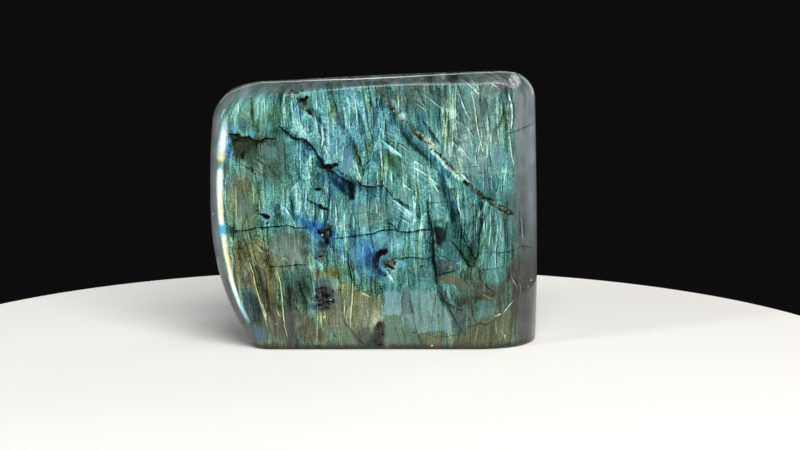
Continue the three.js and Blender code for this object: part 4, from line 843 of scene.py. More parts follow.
# Flecks in the stone: middle, radii, turn, tone from black 0 through grey green to white 1.
FLECKS = [
    ((-22.6, 78), (1.5, 0.9), -10, 0), ((-21.2, 78.7), (0.8, 0.8), 0, 0.05),
    ((-22, 76.9), (0.7, 0.6), 0, 0.25), ((-20.7, 75), (1.1, 0.6), 0, 0.2),
    ((-20.2, 74.2), (0.9, 0.7), -30, 0.05), ((-19.5, 73.3), (0.5, 0.4), -40, 0),
    ((-26, 80.9), (0.7, 0.4), 0, 0.25), ((-24.4, 80.4), (1, 0.4), -10, 0.3),
    ((-22.6, 80.9), (0.6, 0.3), 0, 0.2), ((-14.4, 57.3), (2.3, 1.2), 8, 0),
    ((-12.4, 58.1), (1.4, 0.7), 10, 0), ((-15.9, 57), (1.2, 0.4), 5, 0.1),
    ((-13.2, 56), (1.1, 0.35), -15, 0.05), ((-9.2, 53.2), (1.3, 0.6), -35, 0.03),
    ((-7.4, 50.8), (1, 1.6), 5, 0), ((-7, 48.2), (0.6, 1.2), 0, 0.03), ((-7.6, 52.3), (0.9, 0.5), 0, 0),
    ((-17.7, 50.3), (1.1, 0.7), -10, 0), ((-18.3, 50.5), (0.5, 0.3), 0, 0), ((-17, 45), (1, 0.8), -35, 0),
    ((-15.8, 44.2), (1.2, 0.6), -25, 0), ((-34.2, 42), (1.7, 0.9), -28, 0),
    ((-35.6, 42.6), (0.8, 0.35), -30, 0), ((-36.8, 43.8), (0.4, 0.3), 0, 0.05),
    ((-36.6, 42.8), (0.4, 0.25), 0, 0.05), ((-34.9, 40.3), (0.4, 0.35), 0, 0),
    ((-33.7, 39.9), (0.45, 0.5), 0, 0), ((-17.3, 37), (1.2, 0.8), -25, 0),
    ((-15.2, 34.4), (0.8, 1.2), 25, 0), ((-16.6, 36.3), (0.4, 0.5), -20, 0.75),
    ((-14.9, 37.8), (1.2, 0.6), 10, 0.1), ((-13.9, 36.4), (0.6, 1.3), 10, 0.05),
    ((-14.9, 33.6), (0.9, 0.5), -35, 0), ((-13.2, 32.4), (1, 0.25), -10, 0.05),
    ((2.1, 30.6), (1.9, 1.3), 35, 0), ((3.2, 31), (0.8, 0.9), 0, 0), ((1, 29.3), (0.7, 0.9), 10, 0),
    ((0.8, 28), (0.35, 0.6), 0, 0.1), ((0.9, 26.2), (0.5, 0.6), 0, 0.03),
    ((1.5, 25.2), (0.5, 0.25), 0, 0.1), ((3.2, 23.5), (0.45, 0.35), 0, 0),
    ((5.2, 27.4), (1.6, 1.1), 15, 0.45), ((4.4, 26.5), (1.4, 0.6), -25, 0),
    ((5.5, 25.9), (1, 0.45), -40, 0), ((6.2, 27.3), (0.4, 0.6), 0, 0.03),
    ((3.9, 27.7), (0.3, 0.6), 20, 0.03), ((5.8, 28.3), (0.7, 0.25), 25, 0.05),
    ((4.4, 28.2), (0.7, 0.4), 10, 0.55), ((3.4, 25.9), (0.5, 0.3), 0, 0.05),
    ((-17, 19.4), (0.8, 0.5), 30, 0), ((-18.2, 16.6), (0.6, 1), 12, 0), ((-15.4, 17.4), (1, 1.3), 30, 0),
    ((-13.5, 15.3), (1.1, 0.8), -30, 0), ((-17.4, 14), (0.8, 0.5), 20, 0.02),
    ((-15, 13.2), (0.9, 0.5), -35, 0.05), ((-13.2, 18.4), (0.5, 0.7), 0, 0.22),
    ((-16.6, 12.8), (0.6, 0.4), 0, 0.22), ((-13.8, 15.6), (0.45, 0.4), 0, 0.95),
    ((-11.1, 18.8), (0.5, 0.35), 0, 0), ((-15.7, 12.9), (0.25, 0.25), 0, 0), ((1.6, 8), (1, 0.7), 35, 0.16),
    ((2.4, 5), (0.5, 0.9), 0, 0), ((0.2, 2.8), (0.6, 0.4), 0, 0), ((-0.9, 7.2), (0.3, 0.22), 0, 0.6),
    ((0.7, 5.7), (0.35, 0.13), 0, 0.6), ((1.4, 1.8), (1, 0.5), 0, 0.18),
    ((-12.8, 4.3), (0.7, 0.3), -30, 0.25), ((-18.2, 0.9), (1.3, 0.4), 0, 0.1),
    ((-38.2, 56.2), (0.5, 0.4), 0, 0), ((-37.5, 55.2), (0.3, 0.4), 0, 0),
    ((-38.6, 57.2), (0.4, 0.3), 0, 0.05), ((-41.6, 60.6), (0.4, 0.8), 15, 0.05),
    ((-17, 29.4), (0.8, 0.4), 10, 0), ((-18.6, 29), (0.4, 0.3), 0, 0), ((-15.8, 30.9), (0.4, 0.4), 0, 0),
    ((-12, 31.4), (0.5, 0.2), 40, 0.1), ((19.9, 10.6), (0.4, 0.3), -15, 0),
    ((15, 26.4), (0.35, 0.5), 0, 0.05), ((17, 23.7), (0.3, 0.4), 0, 0), ((16.4, 26), (0.4, 0.2), 0, 0.1),
    ((23, 15), (0.4, 0.3), 0, 0.1), ((-43.2, 67.4), (1.3, 0.6), -5, 0.05),
    ((-40, 66.4), (1, 0.45), 0, 0.08), ((-37.4, 65.9), (0.9, 0.5), -10, 0.05),
    ((-43, 64.4), (0.6, 0.5), 0, 0.32), ((-44.4, 65.4), (0.5, 0.5), 0, 0.1),
    ((-36.6, 68.6), (0.3, 0.7), 20, 0), ((16.8, 85.2), (0.5, 0.4), 0, 0.1),
    ((28.5, 66.3), (0.4, 0.6), 0, 0.85), ((27.9, 67.2), (0.2, 0.4), 0, 0.9),
    ((-10.6, 38.8), (0.7, 0.4), -30, 0.85), ((-4.1, 49.7), (0.8, 0.16), -25, 0.9),
    ((25.8, 27.2), (0.25, 0.2), 0, 0.85), ((24, 25.9), (0.25, 0.2), 0, 0.85),
    ((19.4, 20.1), (0.35, 0.2), 0, 0.8), ((-31, 7.8), (0.25, 0.25), 0, 0.8),
    ((39.4, 10.8), (0.6, 0.3), 30, 0.8), ((38.2, 10.5), (0.4, 0.3), 0, 0.7),
    ((38.8, 11.7), (0.3, 0.25), 30, 0.85), ((42.4, 12.6), (0.9, 0.16), 45, 0),
    ((43.7, 21.4), (0.2, 0.4), 20, 0.8), ((49.6, 20.3), (0.5, 0.2), 0, 0.85),
    ((48.6, 18.6), (0.25, 0.2), 0, 0.8), ((43.6, 84.4), (0.5, 0.3), -20, 0.7),
    ((45.2, 84.6), (0.4, 0.6), 20, 0.85), ((43.8, 82.8), (0.3, 0.5), -20, 0.8),
    ((42.8, 82.2), (0.4, 0.25), 20, 0.75), ((44.8, 82.4), (0.25, 0.4), 30, 0.85),
    ((45.7, 83.4), (0.25, 0.4), 0, 0.8), ((42.4, 83.2), (0.35, 0.2), 0, 0.2),
    ((44.4, 83.6), (0.3, 0.2), 0, 0.15), ((-50.7, 42.3), (0.4, 0.3), 0, 0.95),
    ((41, 4), (0.5, 0.35), 0, 0.75), ((18, 0.9), (0.5, 0.3), 0, 0.9), ((35.6, 1.1), (0.3, 0.3), 0, 0.85),
    ((9.2, 66.9), (0.45, 0.25), -20, 0), ((-15.9, 10), (0.3, 0.3), 0, 0.9),
    ((20.6, 61.4), (0.7, 0.35), -40, 0.02), ((22.6, 58.4), (0.5, 0.3), -40, 0.05),
    ((24.2, 57.4), (0.8, 0.3), -45, 0.02), ((25.8, 55.2), (0.6, 0.3), -40, 0.06),
    ((17.2, 66), (0.4, 0.5), 0, 0.9), ((18.4, 64.6), (0.5, 0.4), -40, 0.95),
    ((15, 67.2), (0.4, 0.4), 0, 0.8), ((13.2, 67.2), (0.5, 0.3), -40, 0.05),
    ((17.8, 62.9), (0.5, 0.3), -40, 0.04), ((6.2, 75), (0.3, 0.3), 0, 0.9),
    ((5.2, 75.4), (0.4, 0.25), -40, 0.04), ((33.6, 48.6), (0.8, 0.5), -40, 0.02),
    ((31.4, 50.6), (0.5, 0.3), -40, 0.5), ((36.8, 45.4), (0.6, 0.2), -30, 0.05),
    ((39.6, 44.6), (0.5, 0.25), -30, 0.45), ((-23.4, 79.2), (0.5, 0.35), 0, 0.05),
    ((-21.4, 76.6), (0.4, 0.3), 0, 0.3), ((-23.6, 77.4), (0.5, 0.3), 0, 0.1),
    ((-41.6, 61.4), (0.5, 0.9), -20, 0.1), ((-40.8, 62.2), (0.7, 0.3), 20, 0.15),
    ((-38.4, 56.6), (0.5, 0.3), -30, 0.1), ((-37.6, 55.2), (0.4, 0.3), 0, 0.08),
    ((-43.4, 65.8), (1.2, 0.4), 0, 0.06), ((-40, 65.4), (0.9, 0.3), 10, 0.1),
    ((-18.6, 18.9), (0.5, 0.3), 0, 0.02), ((-16.2, 18.4), (0.6, 0.4), 30, 0),
    ((-17, 15.6), (0.5, 0.35), 0, 0.02), ((-15, 15), (0.6, 0.4), -20, 0),
    ((-14.2, 17.2), (0.4, 0.5), 0, 0.03), ((-18.9, 15.2), (0.35, 0.3), 0, 0.05),
]

# The back's zones, patches and cracks; x is seen from the front, so the back shows them mirrored.
BACK_START = (0.40, 0.25, 0.1, 0.6, 0.6)
BACK_ZONES = [
    ((-20, 55), (22, 20), 20, 0.7, 0.5, 0, 0.45, 0.1, 0.8),
    ((14, 30), (20, 16), -25, 0.6, 0.48, 0.6, 0, 0.15, 0.7),
    ((28, 60), (12, 16), 10, 0.6, 0.5, 0.1, 0.15, 0.2, 0.7),
    ((-5, 40), (9, 8), 0, 0.8, 0.42, 0, 0.9, 0.1, 0.6),
    ((-30, 22), (12, 13), 0, 0.8, 0.36, 0.6, 0, 0.5, 0.5),
    ((3, 62), (7, 10), 15, 0.8, 0.3, 0.1, 0.2, 0.5, 0.6),
    ((20, 12), (16, 8), 0, 0.8, 0.35, 0.3, 0, 0.5, 0.4),
]
BACK_PATCHES = [
    (1.6, (0.6, 0, 0.35, 0, 0.7), [(-30, 66), (-20, 70), (-12, 58), (-14, 46), (-24, 50)]),
    (1.6, (0.24, 0.3, 0.1, 0.3, 0.5), [(-2, 46), (8, 43), (16, 30), (8, 26), (0, 36)]),
    (1.6, (0.56, 0.5, 0, 0.1, 0.5), [(18, 38), (30, 40), (36, 30), (28, 22), (18, 26)]),
    (0.6, (0.2, 0.2, 0.2, 0.4, 0.4), [(22, 60), (27, 62), (33, 47), (37, 33), (33, 34), (28, 46)]),
    (1.6, (0.52, 0.1, 0.2, 0.5, 0.3), [(-40, 46), (-30, 47), (-26, 34), (-38, 32)]),
]
BACK_CRACKS = [
    (0.5, 0.8, [(-46, 44), (-30, 47), (-14, 44), (-2, 46), (8, 43)]),
    (0.5, 0.8, [(-24, 80), (-18, 64), (-8, 50), (2, 38), (10, 22), (14, 4)]),
    (0.5, 0.7, [(12, 74), (22, 58), (30, 40), (36, 30), (44, 26)]),
    (0.4, 0.6, [(-40, 24), (-26, 26), (-10, 22), (4, 25)]),
    (0.4, 0.6, [(-12, 76), (-6, 66), (4, 60), (12, 58)]), (0.35, 0.6, [(18, 26), (24, 14), (26, 4)]),
]
BACK_FLECKS = [
    ((-6, 41), (1.8, 1.2), 20, 0), ((-4, 39), (1, 0.8), 0, 0.05), ((20, 33), (1.2, 0.8), -30, 0.1),
    ((3, 60), (1.6, 1), -20, 0.05), ((5, 57.6), (0.9, 0.7), 0, 0.2), ((-28, 24), (1.4, 0.9), 10, 0.1),
    ((31, 62), (0.8, 0.6), 0, 0.9), ((-16, 68), (0.7, 0.5), 0, 0.85), ((8, 16), (0.9, 0.6), 0, 0.7),
]

# ---------------------------------------------------------------- painting the fields

# A line's distance where none is near, in half widths, and a fleck's, in radii.
FAR = 30.0
FLECK_FAR = 9.0

# Cells of the noise's lattice, which repeats beyond them, and where on it the place 0, 0 lies.
LATTICE_CELLS = 64
LATTICE_ORIGIN = (32, 8)

# Cells of the coarse and the fine push sideways, and of those upwards.
SIDE_CELLS = (4.0, 1.4)
RISE_CELLS = (5.0, 1.7)

# How far painted places are pushed to and fro, and the seed of the noise that pushes them.
ZONE_WANDER = (0.55, 11)
LINE_WANDER = (0.22, 31)
BAND_WANDER = (0.35, 51)
BACK_ZONE_WANDER = (1.5, 71)
BACK_LINE_WANDER = (0.5, 91)

# The width of a line and of a shadow band at its ends, as a share of its width in the middle.
LINE_END_WIDTH = 0.45
BAND_END_WIDTH = 0.5

# Where a line's strength fades: so many half widths away, and then between two distances.
LINE_REACH = 3
LINE_FADE = (0.4, 1.6)

# Soft edges: of a shadow band and of the edge's flash and painted highlight in half widths, and of a round
# spot in radii.
BAND_EDGE = (0.35, 1.5)
GLOW_EDGE = (0.4, 1.35)
SPOT_EDGE = (0.3, 1)

# Values of FIELDS for the grey polish of the right end and of the left edge at their foot, for the top at its
# right, for the painted contact shadow along the foot, and for the ends of the back.
RIGHT_POLISH = (0.34, 0.9, 0.0, 0.9, 0.12)
LEFT_POLISH = (0.46, 0.0, 0.12, 0.95, 0.08)
TOP_POLISH = (0.36, 0.12, 0.0, 0.75, 0.3)
FOOT_SHADE = (0.14, 0.7, 0.0, 0.3, 0.2)
BACK_END_POLISH = (0.44, 0.1, 0.05, 0.85, 0.12)
TOP_SHARE = 0.85
FOOT_SHARE = 0.85

# The first three grow lighter, and the first loses its warmth: how much, and between which shares of the
# height or which places to the right or to the left.
RIGHT_LIGHTER_UP = (0.27, 0.2, 0.75)
RIGHT_LIGHTER_OUT = (0.15, 46.5, 51)
RIGHT_COOLER_UP = (1, 0.2, 0.45)
LEFT_LIGHTER_UP = (0.14, 0.1, 0.45)
TOP_LIGHTER_LEFT = (0.1, 0, 40)

# Where the flash ends: across at the right end, which leans with height, and inwards from the left outline.
# The foot is darkened by painted contact shadow below these heights.
MIDDLE_HEIGHT = 43
RIGHT_FLASH_END = (41.6, 46.4)
RIGHT_FLASH_LEAN = 0.02
LEFT_RIM = (1.6, 2.9)
FOOT_HEIGHTS = (0.4, 2.2)

# Uneven light on the grey polish: how much, its cell and its seed.
MOTTLE = 0.16
MOTTLE_CELL = 3.1
MOTTLE_SEED = 17

# The lower part of the front is darker, greyer and warmer, and grows warmer still to the left.
LOW_HEIGHTS = (8, 40)
LOW_DARKER = 0.07
LOW_GREYER = 0.12
LOW_WARMER = 0.12
LOW_WARMER_LEFT = (0.26, -8, 6)

# How bright the edge's flash and painted highlight are, how much weaker streaks are on the top, and how
# strongly lamellae cross on the back.
GLOW_GAIN = 1.15
TOP_STREAK_LOSS = 0.5
BACK_CROSSED = 0.3

# The back's painting takes over between these depths, which lie further back on the top. It gives way to
# polish where the y of its normal is below these.
BACK_DEPTHS = (-8, 0)
TOP_FRONT_DEPTH = 14
BACK_FACING = (0.4, 0.9)

# Lean of the lamellae as a tangent, how much more it grows to the left and down between two heights, and how
# much less it grows to the right. Their slow waves: the swing, and millimetres to a radian upwards and across.
LEAN = 0.055
LEAN_MORE_LEFT = (0.13, 24, 40)
LEAN_HEIGHTS = (20, 48)
LEAN_LESS_RIGHT = (0.04, 15, 40)
WAVES = ((0.8, 13, 17), (0.4, 6.1, -9))

# How much a millimetre of depth adds to a place across at this distance from the middle.
END_WRAP = 2.0
END_REACH = 50


def grown(value, amount, low, high):
    """0 where the value is low, and the amount where it is high."""
    return amount * smoothstep(value, low, high)


def value_noise(x, z, cell, seed):
    """Smooth random values from 0 to 1, a cell of millimetres apart."""
    lattice = np.random.default_rng(seed).random((LATTICE_CELLS, LATTICE_CELLS))
    column = x / cell + LATTICE_ORIGIN[0]
    row = z / cell + LATTICE_ORIGIN[1]
    left = np.floor(column).astype(int)
    low = np.floor(row).astype(int)
    across = smoothstep(column - left, 0, 1)
    upward = smoothstep(row - low, 0, 1)

    def corner(step_x, step_z):
        return lattice[(left + step_x) % LATTICE_CELLS, (low + step_z) % LATTICE_CELLS]

    bottom = corner(0, 0) * (1 - across) + corner(1, 0) * across
    top = corner(0, 1) * (1 - across) + corner(1, 1) * across
    return bottom * (1 - upward) + top * upward


def push(x, z, cells, seed):
    """Noise about 0, twice as strong in coarse cells as in fine ones."""
    coarse, fine = (value_noise(x, z, cell, seed + step) - 0.5 for step, cell in enumerate(cells))
    return coarse * 2 + fine


def wandered(x, z, amount, seed):
    """The same places pushed a little to and fro, so that painted outlines aren't clean curves."""
    return x + push(x, z, SIDE_CELLS, seed) * amount, z + push(x, z, RISE_CELLS, seed + 2) * amount


def stroke(x, z, points):
    """Signed distance to a bent line, and how far along it the nearest point lies, 0 to 1."""
    points = np.array(points, float)
    lengths = np.hypot(*np.diff(points, axis=0).T)
    starts = np.concatenate([[0], np.cumsum(lengths)])
    best = np.full(x.shape, np.inf)
    along = np.zeros(x.shape)
    for index, length in enumerate(lengths):
        start_x, start_z = points[index]
        step_x, step_z = (points[index + 1] - points[index]) / length
        run = np.clip((x - start_x) * step_x + (z - start_z) * step_z, 0, length)
        off_x = x - start_x - run * step_x
        off_z = z - start_z - run * step_z
        distance = np.hypot(off_x, off_z)
        sign = np.where(step_x * off_z - step_z * off_x < 0, -1.0, 1.0)
        nearer = distance < np.abs(best)
        best = np.where(nearer, sign * distance, best)
        along = np.where(nearer, (starts[index] + run) / starts[-1], along)
    return best, along


def taper(along, end_width):
    """A line's width as a share: 1 in its middle, and the end width at both ends."""
    return end_width + (1 - end_width) * np.sqrt(np.clip(np.sin(np.pi * along), 0, 1))


def ellipse(x, z, middle, radii, turn=0.0):
    """Distance from a turned ellipse's middle as a share of its radii: 1 on its edge."""
    turn = math.radians(turn)
    right = x - middle[0]
    up = z - middle[1]
    across = (right * math.cos(turn) + up * math.sin(turn)) / radii[0]
    upward = (up * math.cos(turn) - right * math.sin(turn)) / radii[1]
    return np.hypot(across, upward)


def depth_inside(x, z, corners):
    """Distance inside a closed outline, negative outside it."""
    closed = [*corners, corners[0]]
    distance, _ = stroke(x, z, closed)
    inside = np.zeros(x.shape, bool)
    for (start_x, start_z), (end_x, end_z) in zip(closed, closed[1:]):
        crosses = (start_z > z) != (end_z > z)
        inside ^= crosses & (x < start_x + (z - start_z) * (end_x - start_x) / (end_z - start_z or 1))
    return np.where(inside, 1, -1) * np.abs(distance)


def blend(fields, share, values):
    """Changes the fields of FIELDS towards the values by the share."""
    for name, value in zip(FIELDS, values):
        fields[name] = fields[name] + (value - fields[name]) * share


def lay_zones(fields, x, z, zones, share=1.0):
    """Blends soft ellipses into the fields, each over the ones before it."""
    for middle, radii, turn, softness, *values in zones:
        inside = 1 - smoothstep(ellipse(x, z, middle, radii, turn), 1 - softness, 1)
        blend(fields, share * inside, values)


def lay_patches(fields, x, z, patches):
    """Blends outlines with soft edges into the fields, each over the ones before it."""
    for softness, values, corners in patches:
        blend(fields, smoothstep(depth_inside(x, z, corners), -softness, softness), values)


def painted(x, z, start, zones, patches):
    """The fields of FIELDS at every place, from their start values, the zones and the patches."""
    fields = {name: np.full(x.shape, value) for name, value in zip(FIELDS, start)}
    lay_zones(fields, x, z, zones)
    lay_patches(fields, x, z, patches)
    return fields


def nearest_lines(x, z, lines):
    """Across the nearest line in half widths, its strength there, and the other number of its row, if any.

    The first has a sign that changes on the line itself, which keeps thin lines crisp between the vertices.
    Strength fades a few millimetres away, so that places where two lines are equally near don't show.
    """
    across = np.full(x.shape, FAR)
    strength = np.zeros(x.shape)
    extra = np.zeros(x.shape)
    for half_width, tone, *more, points in lines:
        distance, along = stroke(x, z, points)
        measured = distance / (half_width * taper(along, LINE_END_WIDTH))
        nearer = np.abs(measured) < np.abs(across)
        across = np.where(nearer, measured, across)
        beyond = np.abs(distance) - LINE_REACH * half_width
        strength = np.where(nearer, tone * (1 - smoothstep(beyond, *LINE_FADE)), strength)
        extra = np.where(nearer, more[0] if more else 0, extra)
    return across, strength, extra


def nearest_fleck(x, z, flecks):
    """Distance from the nearest fleck, 1 on its edge, and its tone."""
    fleck = np.full(x.shape, FLECK_FAR)
    tone = np.zeros(x.shape)
    for middle, radii, turn, shade in flecks:
        distance = ellipse(x, z, middle, radii, turn)
        nearer = distance < fleck
        fleck = np.where(nearer, distance, fleck)
        tone = np.where(nearer, shade, tone)
    return fleck, tone


def soft_bands(x, z, bands):
    """How deep the darkest band of shadow is at every place."""
    tone = np.zeros(x.shape)
    for half_width, depth, points in bands:
        distance, along = stroke(x, z, points)
        width = half_width * taper(along, BAND_END_WIDTH)
        tone = np.maximum(tone, depth * (1 - smoothstep(np.abs(distance) / width, *BAND_EDGE)))
    return tone


def soft_spots(x, z, spots):
    """The strongest of some soft round spots: middle, radii, perhaps a turn, strength."""
    strength = np.zeros(x.shape)
    for middle, radii, *turn, most in spots:
        distance = ellipse(x, z, middle, radii, *turn)
        strength = np.maximum(strength, most * (1 - smoothstep(distance, *SPOT_EDGE)))
    return strength


def add_end_polish(fields, x, z, inset):
    """Blends the grey of both ends into the front's fields, and returns how much there is of it."""
    height = z / CREST_HEIGHT
    level, warm, *others = RIGHT_POLISH
    level = level + grown(height, *RIGHT_LIGHTER_UP) + grown(x, *RIGHT_LIGHTER_OUT)
    warm = warm * (1 - grown(height, *RIGHT_COOLER_UP))
    right = smoothstep(x + RIGHT_FLASH_LEAN * (z - MIDDLE_HEIGHT), *RIGHT_FLASH_END)
    blend(fields, right, (level, warm, *others))
    level, *others = LEFT_POLISH
    left = 1 - smoothstep(inset, *LEFT_RIM)
    blend(fields, left, (level + grown(height, *LEFT_LIGHTER_UP), *others))
    return np.maximum(left, right)


def add_top(fields, x, top, behind_face):
    """Blends the top's grey and its marks into the front's fields."""
    level, *others = TOP_POLISH
    blend(fields, TOP_SHARE * top, (level + grown(-x, *TOP_LIGHTER_LEFT), *others))
    lay_zones(fields, x, behind_face, TOP_ZONES, top)


def deepen_low_part(fields, x, z):
    """Makes the lower part of the front darker, greyer and warmer."""
    low = 1 - smoothstep(z, *LOW_HEIGHTS)
    warmer = LOW_WARMER + grown(-x, *LOW_WARMER_LEFT)
    fields["level"] = fields["level"] - LOW_DARKER * low
    fields["warm"] = fields["warm"] + low * (1 - fields["blue"]) ** 2 * warmer
    fields["grey"] = fields["grey"] + LOW_GREYER * low


def add_front_marks(fields, x, z, top):
    """The front's cracks, bands, streaks, veins, stains and flecks."""
    near_x, near_z = wandered(x, z, *LINE_WANDER)
    fields["crack"], fields["crack_tone"], _ = nearest_lines(near_x, near_z, CRACKS)
    fields["band"] = soft_bands(*wandered(x, z, *BAND_WANDER), BANDS) * (1 - top)
    fields["streak"], fields["streak_tone"], fields["streak_warm"] = nearest_lines(x, z, STREAKS)
    fields["streak_tone"] *= 1 - TOP_STREAK_LOSS * top
    fields["gold"], fields["gold_tone"], _ = nearest_lines(x, z, GOLD)
    fields["rust"] = soft_spots(near_x, near_z, RUST_STAINS)
    fields["vein"], fields["vein_strength"], fields["vein_tone"] = nearest_lines(near_x, near_z, VEINS)
    fields["cross"] = soft_spots(x, z, CROSSED)
    fields["fleck"], fields["fleck_tone"] = nearest_fleck(near_x, near_z, FLECKS)


def paint_edge_flash_and_highlight(fields, x, z):
    """The flash and the painted highlight on the rounded left edge."""
    distance, _ = stroke(x, z, [(place, height) for height, place, *_ in EDGE_FLASH_AND_HIGHLIGHT])
    heights, _, *columns = zip(*EDGE_FLASH_AND_HIGHLIGHT)
    downward = [-height for height in heights]
    half_width, tone, warm, blue = (np.interp(-z, downward, column) for column in columns)
    fields["glow"] = GLOW_GAIN * tone * (1 - smoothstep(np.abs(distance) / half_width, *GLOW_EDGE))
    fields["glow_warm"] = warm
    fields["glow_blue"] = blue


def paint_front(x, z, inset, top, behind_face):
    """The front's fields, from the broad zones to the finest marks.

    inset is the distance from the left outline, top is 0 on the wall and 1 on the top, and behind_face is how
    far a point lies behind the front face.
    """
    fields = painted(*wandered(x, z, *ZONE_WANDER), START, ZONES, PATCHES)
    polished = np.maximum(add_end_polish(fields, x, z, inset), top)
    mottle = value_noise(x, z, MOTTLE_CELL, MOTTLE_SEED) - 0.5
    fields["level"] = fields["level"] + MOTTLE * polished * mottle
    add_top(fields, x, top, behind_face)
    lay_patches(fields, x, z, CORNER_PATCHES)
    # painted contact shadow along the foot
    blend(fields, FOOT_SHARE * (1 - smoothstep(z, *FOOT_HEIGHTS)), FOOT_SHADE)
    deepen_low_part(fields, x, z)
    add_front_marks(fields, x, z, top)
    # the rounded left edge's flash and painted highlight
    paint_edge_flash_and_highlight(fields, x, z)
    return fields


def paint_back(x, z):
    """The back's fields: zones, patches, cracks and flecks, and none of the front's other marks."""
    fields = painted(*wandered(x, z, *BACK_ZONE_WANDER), BACK_START, BACK_ZONES, BACK_PATCHES)
    near_x, near_z = wandered(x, z, *BACK_LINE_WANDER)
    fields["crack"], fields["crack_tone"], _ = nearest_lines(near_x, near_z, BACK_CRACKS)
    fields["fleck"], fields["fleck_tone"] = nearest_fleck(near_x, near_z, BACK_FLECKS)
    fields["cross"] = np.full(x.shape, BACK_CROSSED)
    for name in ("streak", "gold", "vein"):
        fields[name] = np.full(x.shape, FAR)
    for name in ("band", "streak_tone", "streak_warm", "gold_tone", "rust", "vein_strength", "vein_tone",
                 "glow", "glow_warm", "glow_blue"):
        fields[name] = np.zeros(x.shape)
    return fields


def lamella_places(x, z, top, behind_face):
    """Coordinates across and along the lamellae: they lean right going down, and more so in the lower left.

    Depth behind the front is added outwards near the ends, so that the pattern runs on round both of them.
    """
    lower_left = grown(-x, *LEAN_MORE_LEFT) * (1 - smoothstep(z, *LEAN_HEIGHTS))
    lean = LEAN + lower_left - grown(x, *LEAN_LESS_RIGHT)
    wave = sum(swing * np.sin(z / upward + x / across) for swing, upward, across in WAVES)
    round_ends = (x / END_REACH) ** 3 * END_WRAP * behind_face
    return x + lean * (z - MIDDLE_HEIGHT) + wave + round_ends, z + top * behind_face


def paint_stone(points, normals, top):
    """Every field at every vertex, blended from front to back by where it lies and how it faces."""
    x, y, z = points.T
    inset = x - left_edge(np.clip(z, 0, CREST_HEIGHT))
    behind_face = y - front_depth(x, z)
    front = paint_front(x, z, inset, top, behind_face)
    back = paint_back(x, z)
    behind = smoothstep(y - TOP_FRONT_DEPTH * top, *BACK_DEPTHS)
    fields = {name: values + (back[name] - values) * behind for name, values in front.items()}
    ends = behind * (1 - smoothstep(normals[:, 1], *BACK_FACING))
    blend(fields, ends, BACK_END_POLISH)
    fields["crack_tone"] *= 1 - ends
    fields["fleck"] = fields["fleck"] + (FLECK_FAR - fields["fleck"]) * ends
    fields["across"], fields["along"] = lamella_places(x, z, top, behind_face)
    fields["top"] = top
    return fields


# The mesh's attributes, three fields in each. No shader reads top: it only fills the last places.
ATTRIBUTES = {
    "tint": ("warm", "blue", "grey"),
    "flash": ("level", "grain", "cross"),
    "cracks": ("crack", "crack_tone", "band"),
    "streaks": ("streak", "streak_tone", "streak_warm"),
    "golden": ("gold", "gold_tone", "rust"),
    "veins": ("vein", "vein_strength", "vein_tone"),
    # glow holds the rounded left edge's flash and painted highlight.
    "glow": ("glow", "glow_warm", "glow_blue"),
    "flecks": ("fleck", "fleck_tone", "top"),
    "lamellae": ("across", "along", "top"),
}

# ---------------------------------------------------------------- the stone's mesh

# Depth of the grooves and pits, how wide a crack's groove is in half widths, and between how many radii a pit
# and a chip end.
CRACK_GROOVE = 0.05
CRACK_GROOVE_WIDTH = 1.4
VEIN_GROOVE = 0.22
FLECK_PIT = 0.13
PIT_EDGE = (0.4, 1.3)
CHIP_EDGE = (0.2, 1)

# Flecks darker than these tones have a pit, and the surface is carved where it faces forward this much.
PIT_TONES = (0.3, 0.6)
CARVED_FACING = (0.2, 0.7)

# Noise that makes grooves, pits and chips uneven: its cell, its seed, and the least depth that it leaves.
ROUGH_CELL = 0.9
ROUGH_SEED = 5
LEAST_PIT = 0.4
PIT_SWING = 0.8
LEAST_CHIP = 0.3

# Chips on the edges: middle, radii, depth.
CHIPS = [
    ((46.2, 82.2), (3.2, 2.4), 0.5), ((43.6, 83.8), (1.8, 1.2), 0.3), ((41, 1.6), (3, 1.2), 0.3),
    ((27, 0.6), (2.2, 0.8), 0.2),
]

# The rings above the wall over which its painting gives way to the top's, and how many rings later that is,
# growing to the left.
TOP_STARTS = (1, 7)
LATER_LEFT = (4, -10, 20)

# Edges sharper than this stay crisp.
SHARP_EDGE = math.radians(50)


def grid_normals(grid):
    """Outward normals of the ring grid, from the steps along and across it."""
    round_step = np.roll(grid, -1, 1) - np.roll(grid, 1, 1)
    up_step = np.gradient(grid, axis=0)
    normal = np.cross(round_step, up_step)
    return normal / np.maximum(1e-9, np.linalg.norm(normal, axis=2, keepdims=True))


def carved_depth(points, fields, facing):
    """How far the surface sinks at cracks, veins, flecks and the small chips."""
    x, _, z = points.T
    rough = value_noise(x, z, ROUGH_CELL, ROUGH_SEED)
    sunk = CRACK_GROOVE * fields["crack_tone"] * np.exp(-((fields["crack"] / CRACK_GROOVE_WIDTH) ** 2))
    sunk += VEIN_GROOVE * fields["vein_strength"] * np.exp(-(fields["vein"] ** 2)) * rough
    dark = 1 - smoothstep(fields["fleck_tone"], *PIT_TONES)
    sunk += FLECK_PIT * dark * (1 - smoothstep(fields["fleck"], *PIT_EDGE)) * (LEAST_PIT + PIT_SWING * rough)
    for middle, radii, depth in CHIPS:
        sunk += depth * (1 - smoothstep(ellipse(x, z, middle, radii), *CHIP_EDGE)) * (LEAST_CHIP + rough)
    return sunk * facing


